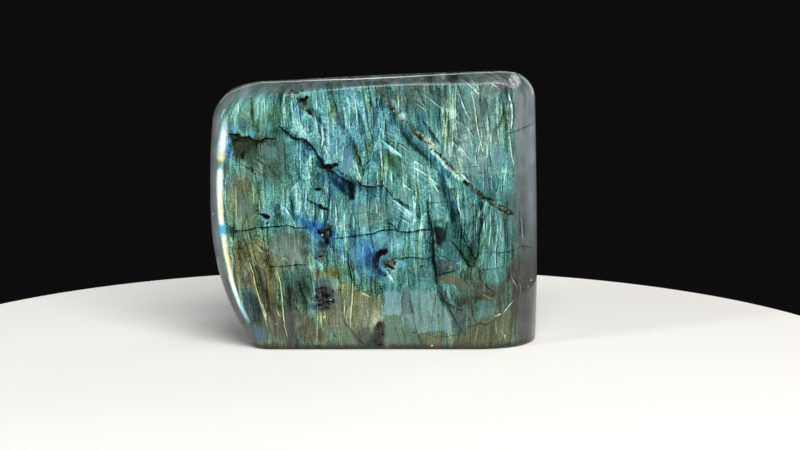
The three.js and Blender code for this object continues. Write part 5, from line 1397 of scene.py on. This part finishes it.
def stone_mesh():
    """The stone's mesh with its painted attributes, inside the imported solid's box."""
    grid, crest = stone_grid()
    rings, stations = grid.shape[:2]
    flat = grid.reshape(-1, 3)
    flat_normals = grid_normals(grid).reshape(-1, 3)
    ring = np.repeat(np.arange(rings), stations)
    first, last = TOP_STARTS
    top = smoothstep(ring - grown(-flat[:, 0], *LATER_LEFT), WALL_RINGS + first, WALL_RINGS + last)
    fields = paint_stone(flat, flat_normals, top)
    facing = smoothstep(-flat_normals[:, 1], *CARVED_FACING) * (ring > 0)
    flat = flat - flat_normals * carved_depth(flat, fields, facing)[:, None]
    low, high = (np.array(corner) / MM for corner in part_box(STONE))
    flat = np.clip(flat, low, high)
    base = flat[:stations]
    middle = base.mean(0)
    caps = [middle + (base - middle) * share for share in BASE_RINGS]
    rest = np.concatenate([crest, *caps, middle[None]])
    rest_fields = paint_stone(rest, np.tile([0.0, 0.0, 1.0], (len(rest), 1)), np.ones(len(rest)))
    mesh = bpy.data.meshes.new("labradorite_freeform")
    mesh.from_pydata((np.concatenate([flat, rest]) * MM).tolist(), [], stone_faces(rings, stations))
    mesh.update()
    mesh.shade_smooth()
    mesh.set_sharp_from_angle(angle=SHARP_EDGE)
    for name, parts in ATTRIBUTES.items():
        values = np.stack([np.concatenate([fields[part], rest_fields[part]]) for part in parts], 1)
        attribute = mesh.attributes.new(name, "FLOAT_VECTOR", "POINT")
        attribute.data.foreach_set("vector", values.astype(np.float32).ravel())
    return mesh


# ---------------------------------------------------------------- the stone's material

# How bright the stone's own colours are beside the floor's, and those colours from dark to bright, as they
# look on screen.
STONE_SHARE = 0.80
TEAL = [(5, 22, 21), (26, 72, 68), (78, 140, 137), (120, 200, 197), (200, 254, 250)]
MOSS = [(8, 24, 12), (36, 74, 50), (86, 136, 112), (144, 200, 168), (214, 252, 224)]
OLIVE = [(20, 23, 7), (62, 67, 32), (110, 123, 80), (170, 188, 120), (240, 248, 182)]
BLUE = [(2, 5, 20), (16, 46, 98), (56, 118, 182), (100, 182, 228), (196, 240, 252)]
GREY = [(24, 22, 20), (68, 65, 60), (110, 115, 118), (154, 160, 168), (226, 230, 232)]
STAIN = [(6, 7, 10), (38, 40, 30), (98, 108, 87), (184, 200, 172), (236, 250, 242)]
# Colours of single marks. The colours of the brightest streaks and of the edge's flash and painted
# highlight aren't dimmed by STONE_SHARE.
BRIGHTEST = (236, 248, 246)
RUST = (116, 82, 52)
YELLOW = (214, 214, 146)
GOLDEN = (172, 146, 78)
GLOW_CYAN = (222, 248, 244)
GLOW_BLUE = (92, 190, 232)
GLOW_YELLOW = (250, 240, 160)
# the white of the painted highlight on the left edge
GLOW_HIGHLIGHT_WHITE = (255, 255, 246)

# Panels of lamellae: features across and along in a millimetre, how much each panel's tone differs, and how
# strong its bright left and dark right edges are, a painted relief shading: painted highlight on the left
# edge, painted shade on the right.
PANELS = [((0.26, 0.07), 0.22, 0.16), ((0.7, 0.28), 0.3, 0.1), ((0.95, 0.13), 0.16, 0.1)]
# Stretched noise between them: features across and along, detail, swing of the tone.
STRANDS = [
    ((0.06, 0.05), 2, 0.2), ((0.8, 0.18), 3, 0.1), ((1, 0.55), 2, 0.24), ((1.5, 1.3), 2, 0.64),
    ((3, 2.6), 1, 0.46),
]
STRAND_ROUGHNESS = 0.6
# Long straight threads: turn in degrees, features across and along, half width, tone, warmth.
THREADS = [
    (0, (0.3, 0.01), 0.045, 0.26, 0.25), (2, (0.42, 0.014), 0.05, 0.22, 0),
    (-2, (0.36, 0.012), 0.07, -0.34, 0.2), (5, (0.28, 0.012), 0.04, 0.22, 0.1),
    (1, (0.75, 0.03), 0.08, -0.16, 0.1), (-4, (0.9, 0.05), 0.08, 0.1, 0),
]
# The same for the slanting set, which has no warmth.
SLANTS = [
    (36, (0.12, 0.55), 0.1, 0.26), (40, (0.1, 0.8), 0.12, 0.2), (31, (0.09, 0.45), 0.08, -0.22),
    (-58, (0.1, 0.5), 0.07, 0.16),
]
# Threads are broken by noise: features across and along, between which values, and how far one row's noise
# lies from the next row's. Within THREAD_CORE of its half width a thread is at full strength.
THREAD_BREAKS = (0.16, 0.03)
THREAD_SPAN = (0.48, 0.56)
THREAD_SHIFT = (13, 7)
THREAD_CORE = 0.2
# Borders of the panels, and how soon their two sides differ, in cells.
PANEL_BORDER = 0.10
PANEL_SIDE = 0.2

# How lamellae are pushed about: features across and along in a millimetre, and the push in millimetres.
PUSH_SCALE = (0.10, 0.06)
PUSH = (2.4, 3.0, 0.0)
# Noise along the bright streaks and along the left edge's flash and painted highlight: features across and
# along in a millimetre.
FLICKER_SCALE = (0.6, 0.45)
GLOW_SCALE = (1.6, 0.5)
# How noise weakens marks: between its first two numbers their strength goes from the third to the fourth, or
# from 0 to 1.
FLICKER_SPAN = (0.38, 0.6, 0.4, 1.0)
CRACK_SPAN = (0.36, 0.52, 0.4, 1.0)
VEIN_SPAN = (0.36, 0.52, 0.5, 1.0)
RUST_SPAN = (-0.05, 0.12)
GLOW_SPAN = (0.3, 0.55, 0.72, 1.0)

# Noise in the round that roughens, fades and breaks marks: features in a millimetre, detail.
RAGGED = (1.3, 2.0)
JAGGED = (2.4, 3.0)
SPECKS = (0.8, 4.0)
FADING = (0.35, 1.0)
VEIN_GAPS = (0.7, 2.0)
SOLID_ROUGHNESS = 0.55

# How far that noise pushes the edge of each mark, in half widths or radii, and how much it changes the tone
# of the rock.
STREAK_RAGGED = 0.6
STREAK_SPECKS = 2.2
GOLD_RAGGED = 1.2
CRACK_JAGGED = 4.4
VEIN_JAGGED = 1.7
FLECK_JAGGED = 1.7
VEIN_TONE_SPECKS = 1.5
FLECK_TONE_SPECKS = 0.3

# How much each mark changes the brightness.
RAGGED_SWING = 0.10
BAND_TONE = -0.32
STREAK_TONE = 0.52
STREAK_SHADE_TONE = -0.24
CRACK_TONE = -0.48
CRACK_HALO_TONE = -0.12
CRACK_GLINT_TONE = 0.18

# Where each mark is drawn, in half widths from its line, or in radii for a fleck. The last two say how strong
# a streak and the edge's flash and painted highlight are where they turn to their brightest colour.
STREAK_EDGE = (0.6, 1.3)
STREAK_SHADE = (1.1, 3.6)
CRACK_EDGE = (0.5, 1.6)
CRACK_HALO = (0.5, 5.0)
CRACK_GLINT = (1.2, 3.4)
GOLD_EDGE = (0.5, 1.3)
VEIN_EDGE = (0.6, 1.2)
FLECK_EDGE = (0.7, 1.1)
STREAK_BRIGHTEST = (0.75, 1.4)
GLOW_BRIGHTEST = (0.9, 1.15)
# Share of the width of a streak's painted shade or of a crack's painted glint that each of its two soft
# edges takes.
RIM_SOFTNESS = 0.3

# Hues vary from lamella to lamella: features across and along, then the middle and the swing of the noise for
# warm, blue and grey, and what panels and threads add. All of it is weaker where there is little grain.
HUE_SCALE = (0.55, 0.13)
HUE_SWINGS = ((0.42, 0.8), (0.54, 0.7), (0.52, 0.8))
PANEL_HUE = 0.16
THREAD_HUE = 0.5
GRAIN_SPAN = (0.0, 0.7, 0.3, 1.0)

# The polish: settings of the shader, and the relief of the lamellae in it.
POLISH = {
    "Roughness": 0.42, "Specular IOR Level": 0.05, "Coat Weight": 0.65, "Coat Roughness": 0.035,
    "Coat IOR": 1.5,
}
RELIEF_STRENGTH = 0.25
RELIEF_HEIGHT = 0.0002


def srgb(red, green, blue, share=1.0):
    """A share of a colour as it looks on screen, 0 to 255, as the linear light that shaders use."""
    parts = [channel / 255 for channel in (red, green, blue)]
    linear = [part / 12.92 if part <= 0.04045 else ((part + 0.055) / 1.055) ** 2.4 for part in parts]
    return tuple(share * part for part in linear) + (1,)


class Web:
    """Writes shader nodes: each call adds one node, or a few, and gives back what comes out."""

    def __init__(self, tree):
        self.tree = tree
        self.split_attributes = {}

    def put(self, socket, value):
        """Feeds a socket from a node's output, or sets its number."""
        if isinstance(value, bpy.types.NodeSocket):
            self.tree.links.new(value, socket)
        else:
            socket.default_value = value

    def node(self, kind, inputs, output=0, **settings):
        """Any node: its settings, what goes into it, and which output to give back."""
        made = self.tree.nodes.new(kind)
        for name, value in settings.items():
            setattr(made, name, value)
        for name, value in inputs.items():
            self.put(made.inputs[name], value)
        return made.outputs[output]

    def math(self, operation, first, second=0.0, third=0.0, clamp=False):
        inputs = {0: first, 1: second, 2: third}
        return self.node("ShaderNodeMath", inputs, operation=operation, use_clamp=clamp)

    def add(self, first, second):
        return self.math("ADD", first, second)

    def times(self, first, second):
        return self.math("MULTIPLY", first, second)

    def plus_times(self, start, first, second):
        """start + first * second"""
        return self.math("MULTIPLY_ADD", first, second, start)

    def clamped(self, value):
        """The value kept from 0 to 1."""
        return self.math("ADD", value, 0.0, clamp=True)

    def vector_math(self, operation, first, second, third=(0.0, 0.0, 0.0)):
        return self.node("ShaderNodeVectorMath", {0: first, 1: second, 2: third}, operation=operation)

    def field(self, name):
        """A painted field's value."""
        for attribute, parts in ATTRIBUTES.items():
            if name in parts:
                if attribute not in self.split_attributes:
                    self.split_attributes[attribute] = self.split(self.vector_field(attribute))
                return self.split_attributes[attribute][parts.index(name)]
        raise KeyError(name)

    def vector_field(self, attribute):
        """The three fields of an attribute, as a vector."""
        return self.node("ShaderNodeAttribute", {}, "Vector", attribute_name=attribute)

    def scaled(self, vector, scale, turn=0.0):
        """The vector turned by some degrees, then times the scale across and along."""
        if turn:
            inputs = {"Vector": vector, "Angle": math.radians(turn)}
            vector = self.node("ShaderNodeVectorRotate", inputs, rotation_type="Z_AXIS")
        return self.vector_math("MULTIPLY", vector, (*scale, 1.0))

    def noise(self, vector, scale, detail=2.0, roughness=0.5, output="Fac"):
        """Smooth flat noise; scale is how many features there are in a millimetre, across and along."""
        scaled = self.scaled(vector, scale)
        inputs = {"Vector": scaled, "Scale": 1.0, "Detail": detail, "Roughness": roughness}
        return self.node("ShaderNodeTexNoise", inputs, output, noise_dimensions="2D")

    def solid_noise(self, vector, scale, detail):
        """Smooth noise in the round, the same size every way."""
        inputs = {"Vector": vector, "Scale": scale, "Detail": detail, "Roughness": SOLID_ROUGHNESS}
        return self.node("ShaderNodeTexNoise", inputs, "Fac", noise_dimensions="3D")

    def voronoi(self, vector, output, **settings):
        """Random cells, one to a unit."""
        inputs = {"Vector": vector, "Scale": 1.0, "Randomness": 1.0}
        return self.node("ShaderNodeTexVoronoi", inputs, output, voronoi_dimensions="2D", **settings)

    def split(self, vector):
        """The three parts of a vector or a colour."""
        made = self.tree.nodes.new("ShaderNodeSeparateXYZ")
        self.put(made.inputs[0], vector)
        return made.outputs

    def span(self, value, low, high, to_low=0.0, to_high=1.0):
        """value's place between low and high, softened, as a number from to_low to to_high."""
        inputs = {"Value": value, "From Min": low, "From Max": high, "To Min": to_low, "To Max": to_high}
        return self.node("ShaderNodeMapRange", inputs, interpolation_type="SMOOTHSTEP")

    def line(self, signed, inner, outer):
        """1 on a painted line and 0 off it, from the signed distance in half widths."""
        return self.span(self.math("ABSOLUTE", signed), inner, outer, 1.0, 0.0)

    def rim(self, signed, start, end):
        """1 beside a painted line, on one side of it only, between two distances in half widths."""
        soft = RIM_SOFTNESS * (end - start)
        begun = self.span(signed, start, start + soft)
        return self.times(begun, self.span(signed, end - soft, end, 1.0, 0.0))

    def mix(self, share, first, second):
        """A share of the way from the first colour to the second."""
        made = self.tree.nodes.new("ShaderNodeMix")
        made.data_type = "RGBA"
        self.put(made.inputs["Factor"], share)
        self.put(made.inputs[6], first)
        self.put(made.inputs[7], second)
        return made.outputs[2]

    def ramp(self, value, colours):
        """A colour from evenly spaced ones, as wanted on screen, for a value from 0 to 1."""
        made = self.tree.nodes.new("ShaderNodeValToRGB")
        elements = made.color_ramp.elements
        while len(elements) < len(colours):
            elements.new(0.5)
        for index, colour in enumerate(colours):
            elements[index].position = index / (len(colours) - 1)
            elements[index].color = srgb(*colour, STONE_SHARE)
        self.put(made.inputs["Fac"], value)
        return made.outputs["Color"]


def panels(web, lamellae, scale, tone, edge):
    """Tone of one set of panels, painted relief shading at their borders, and the random colour of each panel.
    """
    cells = web.scaled(lamellae, scale)
    border = web.voronoi(cells, "Distance", feature="DISTANCE_TO_EDGE")
    border = web.span(border, 0.0, PANEL_BORDER, 1.0, 0.0)
    inward = web.vector_math("SUBTRACT", web.voronoi(cells, "Position"), cells)
    side = web.span(web.split(inward)[0], -PANEL_SIDE, PANEL_SIDE, -1.0, 1.0)
    random = web.split(web.voronoi(cells, "Color"))
    total = web.times(web.add(random[0], -0.5), tone)
    # painted relief shading: a bright left edge and a dark right edge along each border
    return web.plus_times(total, web.times(border, side), edge), random


def threads(web, places, rows):
    """Tone and warmth of thin straight lines: the borders of long narrow cells, broken here and there."""
    tone = 0.0
    warmth = 0.0
    for index, (turn, scale, half_width, row_tone, *row_warmth) in enumerate(rows):
        border = web.voronoi(web.scaled(places, scale, turn), "Distance", feature="DISTANCE_TO_EDGE")
        shift = (THREAD_SHIFT[0] * index, THREAD_SHIFT[1] * index, 0.0)
        shifted = web.vector_math("ADD", places, shift)
        broken = web.span(web.noise(shifted, THREAD_BREAKS, 1.0), *THREAD_SPAN)
        drawn = web.times(web.span(border, THREAD_CORE * half_width, half_width, 1.0, 0.0), broken)
        tone = web.plus_times(tone, drawn, row_tone)
        warmth = web.plus_times(warmth, drawn, sum(row_warmth))
    return tone, warmth


def lamella_tone(web, lamellae):
    """The lamellae's tone, their warmth, and the random colours of the sets of panels."""
    tone = 0.0
    randoms = []
    for row in PANELS:
        panel, random = panels(web, lamellae, *row)
        tone = web.add(panel, tone)
        randoms.append(random)
    for scale, detail, swing in STRANDS:
        strand = web.add(web.noise(lamellae, scale, detail, STRAND_ROUGHNESS), -0.5)
        tone = web.plus_times(tone, strand, swing)
    thread_tone, warmth = threads(web, lamellae, THREADS)
    return web.add(tone, thread_tone), warmth, randoms


def hues(web, lamellae, thread_warmth, randoms):
    """How warm, blue and grey the stone is: the painted fields, varied from lamella to lamella."""
    varied = web.span(web.field("grain"), *GRAIN_SPAN)
    parts = web.split(web.noise(lamellae, HUE_SCALE, 2.0, STRAND_ROUGHNESS, output="Color"))
    warm, blue, grey = (
        web.times(web.add(part, -middle), swing) for part, (middle, swing) in zip(parts, HUE_SWINGS)
    )
    warm = web.plus_times(warm, web.add(randoms[1][1], -0.5), PANEL_HUE)
    warm = web.plus_times(warm, thread_warmth, THREAD_HUE)
    blue = web.plus_times(blue, web.add(randoms[0][1], -0.5), PANEL_HUE)
    offsets = {"warm": warm, "blue": blue, "grey": grey}
    return [web.clamped(web.plus_times(web.field(name), offset, varied)) for name, offset in offsets.items()]


def flash_colour(web, level, warm, blue, grey):
    """The colour for a brightness, from the stone's own range of hues."""
    colour = web.mix(blue, web.ramp(level, TEAL), web.ramp(level, BLUE))
    colour = web.mix(web.span(warm, 0.0, 0.5), colour, web.ramp(level, MOSS))
    colour = web.mix(web.span(warm, 0.5, 1.0), colour, web.ramp(level, OLIVE))
    return web.mix(grey, colour, web.ramp(level, GREY))


def streaks(web, lamellae, ragged, specks):
    """The bright streaks, the brightness change of them and of the painted shade beside them, and their
    flicker.
    """
    flicker = web.span(web.noise(lamellae, FLICKER_SCALE), *FLICKER_SPAN)
    strength = web.times(web.field("streak_tone"), flicker)
    signed = web.plus_times(web.field("streak"), ragged, STREAK_RAGGED)
    signed = web.plus_times(signed, specks, STREAK_SPECKS)
    streak = web.times(web.line(signed, *STREAK_EDGE), strength)
    # painted shade on one side of each streak
    shade = web.times(web.rim(signed, *STREAK_SHADE), strength)
    return streak, web.plus_times(web.times(streak, STREAK_TONE), shade, STREAK_SHADE_TONE), flicker


def cracks(web, place, jagged):
    """The change of brightness that cracks make: a dark line, a wide dim halo, and a painted glint on one
    side.
    """
    signed = web.plus_times(web.field("crack"), jagged, CRACK_JAGGED)
    painted_tone = web.field("crack_tone")
    strength = web.times(painted_tone, web.span(web.solid_noise(place, *FADING), *CRACK_SPAN))
    change = web.times(web.times(web.line(signed, *CRACK_EDGE), strength), CRACK_TONE)
    change = web.plus_times(change, web.times(web.line(signed, *CRACK_HALO), painted_tone), CRACK_HALO_TONE)
    # painted glint on one side of each crack
    return web.plus_times(change, web.times(web.rim(signed, *CRACK_GLINT), strength), CRACK_GLINT_TONE)


def add_minerals(web, colour, place, ragged, jagged, specks):
    """The healed fissure and the flecks, rock from black through grey green to white, and the rust."""
    patchy = web.span(web.solid_noise(place, *VEIN_GAPS), *VEIN_SPAN)
    strength = web.times(patchy, web.field("vein_strength"))
    vein = web.times(web.line(web.plus_times(web.field("vein"), jagged, VEIN_JAGGED), *VEIN_EDGE), strength)
    rock = web.clamped(web.plus_times(web.field("vein_tone"), specks, VEIN_TONE_SPECKS))
    colour = web.mix(vein, colour, web.ramp(rock, STAIN))
    fleck = web.span(web.plus_times(web.field("fleck"), jagged, FLECK_JAGGED), *FLECK_EDGE, 1.0, 0.0)
    rock = web.clamped(web.plus_times(web.field("fleck_tone"), specks, FLECK_TONE_SPECKS))
    colour = web.mix(fleck, colour, web.ramp(rock, STAIN))
    rust = web.times(web.field("rust"), web.span(ragged, *RUST_SPAN))
    return web.mix(rust, colour, srgb(*RUST, STONE_SHARE))


def add_edge_flash_and_highlight(web, colour, straight):
    """The rounded left edge, where the flash turns from cyan to yellow and the painted highlight turns white.
    """
    glow = web.times(web.field("glow"), web.span(web.noise(straight, GLOW_SCALE), *GLOW_SPAN))
    edge = web.mix(web.field("glow_blue"), srgb(*GLOW_CYAN), srgb(*GLOW_BLUE))
    edge = web.mix(web.field("glow_warm"), edge, srgb(*GLOW_YELLOW))
    # painted highlight: where the edge's glow is strongest it turns white
    edge = web.mix(web.span(glow, *GLOW_BRIGHTEST), edge, srgb(*GLOW_HIGHLIGHT_WHITE))
    return web.mix(web.math("MINIMUM", glow, 1.0), colour, edge)


def labradorite():
    """Flash, lamellae, cracks and minerals under a clear polish."""
    material = bpy.data.materials.new("labradorite")
    material.use_nodes = True
    web = Web(material.node_tree)
    surface = material.node_tree.nodes["Principled BSDF"]
    object_place = web.node("ShaderNodeTexCoord", {}, "Object")
    place = web.vector_math("MULTIPLY", object_place, (1 / MM, 1 / MM, 1 / MM))
    ragged, jagged, specks = (
        web.add(web.solid_noise(place, *kind), -0.5) for kind in (RAGGED, JAGGED, SPECKS)
    )

    # The lamellae aren't ruled: their places are pushed about before anything is drawn along them.
    straight = web.vector_field("lamellae")
    random_push = web.noise(straight, PUSH_SCALE, 2.0, output="Color")
    centred = web.vector_math("SUBTRACT", random_push, (0.5, 0.5, 0.5))
    lamellae = web.vector_math("MULTIPLY_ADD", centred, PUSH, straight)

    # How bright the flash is: the painted level, the lamellae, the slanting set where two cross, and marks.
    texture, thread_warmth, randoms = lamella_tone(web, lamellae)
    crossing, _ = threads(web, straight, SLANTS)
    streak, streak_change, flicker = streaks(web, lamellae, ragged, specks)
    level = web.plus_times(web.field("level"), texture, web.field("grain"))
    level = web.plus_times(level, crossing, web.field("cross"))
    level = web.plus_times(level, ragged, RAGGED_SWING)
    level = web.plus_times(level, web.field("band"), BAND_TONE)
    level = web.add(level, streak_change)
    level = web.clamped(web.add(level, cracks(web, place, jagged)))

    # Colour for that brightness, then the streaks' own colours, what lies in and over the flash, and the left
    # edge's flash and painted highlight.
    colour = flash_colour(web, level, *hues(web, lamellae, thread_warmth, randoms))
    colour = web.mix(web.span(streak, *STREAK_BRIGHTEST), colour, srgb(*BRIGHTEST))
    colour = web.mix(web.times(streak, web.field("streak_warm")), colour, srgb(*YELLOW, STONE_SHARE))
    gold = web.line(web.plus_times(web.field("gold"), ragged, GOLD_RAGGED), *GOLD_EDGE)
    gold = web.times(gold, web.field("gold_tone"))
    colour = web.mix(web.times(gold, flicker), colour, srgb(*GOLDEN, STONE_SHARE))
    colour = add_minerals(web, colour, place, ragged, jagged, specks)
    # the left edge's flash and painted highlight
    colour = add_edge_flash_and_highlight(web, colour, straight)

    web.put(surface.inputs["Base Color"], colour)
    for name, value in POLISH.items():
        surface.inputs[name].default_value = value
    relief = {"Height": level, "Strength": RELIEF_STRENGTH, "Distance": RELIEF_HEIGHT}
    web.put(surface.inputs["Normal"], web.node("ShaderNodeBump", relief))
    return material


# ---------------------------------------------------------------- floor, lights and camera

# Everything here is in metres. The floor's middle is a y, and its top lies just below the stone.
FLOOR_RADIUS = 0.161
FLOOR_MIDDLE = -0.04
FLOOR_TOP = -0.0002
FLOOR_UNDERSIDE = -0.01
FLOOR_CORNERS = 128
FLOOR_COLOUR = (250, 249, 246)
FLOOR_ROUGHNESS = 0.6

# Soft rectangular lights: place, height they are aimed at, width and height, power, colour.
LIGHTS = {
    "key": ((0.28, -0.8, 0.8), 0.04, (0.85, 0.85), 16.4, (1.0, 0.98, 0.95)),
    "overhead": ((0.12, -0.12, 0.8), 0.04, (0.3, 0.12), 0.7, (0.95, 0.98, 1.0)),
    "left_fill": ((-0.75, -0.45, 0.45), 0.03, (0.12, 0.4), 2.6, (0.95, 0.98, 1.0)),
    "back_fill": ((0.75, 0.75, 0.4), 0.04, (0.6, 0.6), 2.4, (1.0, 0.98, 0.96)),
    "rim": ((0, 0.85, 0.36), 0.08, (1.2, 0.04), 0.7, (1.0, 0.99, 0.97)),
}
DARK_ROOM = (0.0045, 0.004, 0.0042, 1)

# The camera looks at a point a little right of the middle, at a share of the stone's height.
CAMERA_RIGHT = 0.00795
CAMERA_AIM_SHARE = 0.4187
CAMERA_DISTANCE = 0.717
CAMERA_PITCH = math.radians(9)
NEAREST_SEEN = 0.01
# The lens is measured in millimetres.
LENS_LENGTH = 100
SENSOR_WIDTH = 36


def add_object(name, data):
    """A new object in the scene."""
    made = bpy.data.objects.new(name, data)
    bpy.context.scene.collection.objects.link(made)
    return made


def turned_to(direction):
    """The rotation that points a light or a camera along a direction."""
    return direction.to_track_quat("-Z", "Y").to_euler()


def make_floor():
    """A plain pale round floor."""
    count = FLOOR_CORNERS
    angles = [2 * math.pi * turn / count for turn in range(count)]
    ring = [(math.cos(angle), math.sin(angle)) for angle in angles]
    places = [
        (FLOOR_RADIUS * across, FLOOR_MIDDLE + FLOOR_RADIUS * back, z)
        for z in (FLOOR_TOP, FLOOR_UNDERSIDE) for across, back in ring
    ]
    faces = [tuple(range(count)), tuple(range(2 * count - 1, count - 1, -1))]
    faces += [(turn, count + turn, count + (turn + 1) % count, (turn + 1) % count) for turn in range(count)]
    mesh = bpy.data.meshes.new("floor")
    mesh.from_pydata(places, [], faces)
    paint = bpy.data.materials.new("floor")
    paint.use_nodes = True
    board = paint.node_tree.nodes["Principled BSDF"]
    board.inputs["Base Color"].default_value = srgb(*FLOOR_COLOUR)
    board.inputs["Roughness"].default_value = FLOOR_ROUGHNESS
    mesh.materials.append(paint)
    add_object("floor", mesh)


def soft_light(name, place, aim_height, size, power, colour):
    """A rectangular soft light aimed at a point over the origin."""
    lamp = bpy.data.lights.new(name, "AREA")
    lamp.shape = "RECTANGLE"
    lamp.size, lamp.size_y = size
    lamp.energy = power
    lamp.color = colour
    holder = add_object(name, lamp)
    holder.location = place
    holder.rotation_euler = turned_to(Vector((0, 0, aim_height)) - Vector(place))


def make_lights():
    """The soft lights in a dark room."""
    for name, row in LIGHTS.items():
        soft_light(name, *row)
    world = bpy.data.worlds.new("dark_room")
    world.use_nodes = True
    world.node_tree.nodes["Background"].inputs["Color"].default_value = DARK_ROOM
    bpy.context.scene.world = world
    bpy.context.scene.view_settings.view_transform = "Standard"


def make_camera():
    """A long lens a little above the stone, looking down on it."""
    _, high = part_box(STONE)
    lens = bpy.data.cameras.new("camera")
    lens.lens = LENS_LENGTH
    lens.sensor_width = SENSOR_WIDTH
    lens.clip_start = NEAREST_SEEN
    holder = add_object("camera", lens)
    aim = Vector((CAMERA_RIGHT, 0, CAMERA_AIM_SHARE * high.z))
    away = Vector((0, -math.cos(CAMERA_PITCH), math.sin(CAMERA_PITCH)))
    holder.location = aim + away * CAMERA_DISTANCE
    holder.rotation_euler = turned_to(-away)
    bpy.context.scene.camera = holder


# ---------------------------------------------------------------- the scene

stone = add_object("labradorite_freeform", stone_mesh())
stone.data.materials.append(labradorite())
make_floor()
make_lights()
make_camera()

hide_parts(STONE)
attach(stone, "root")
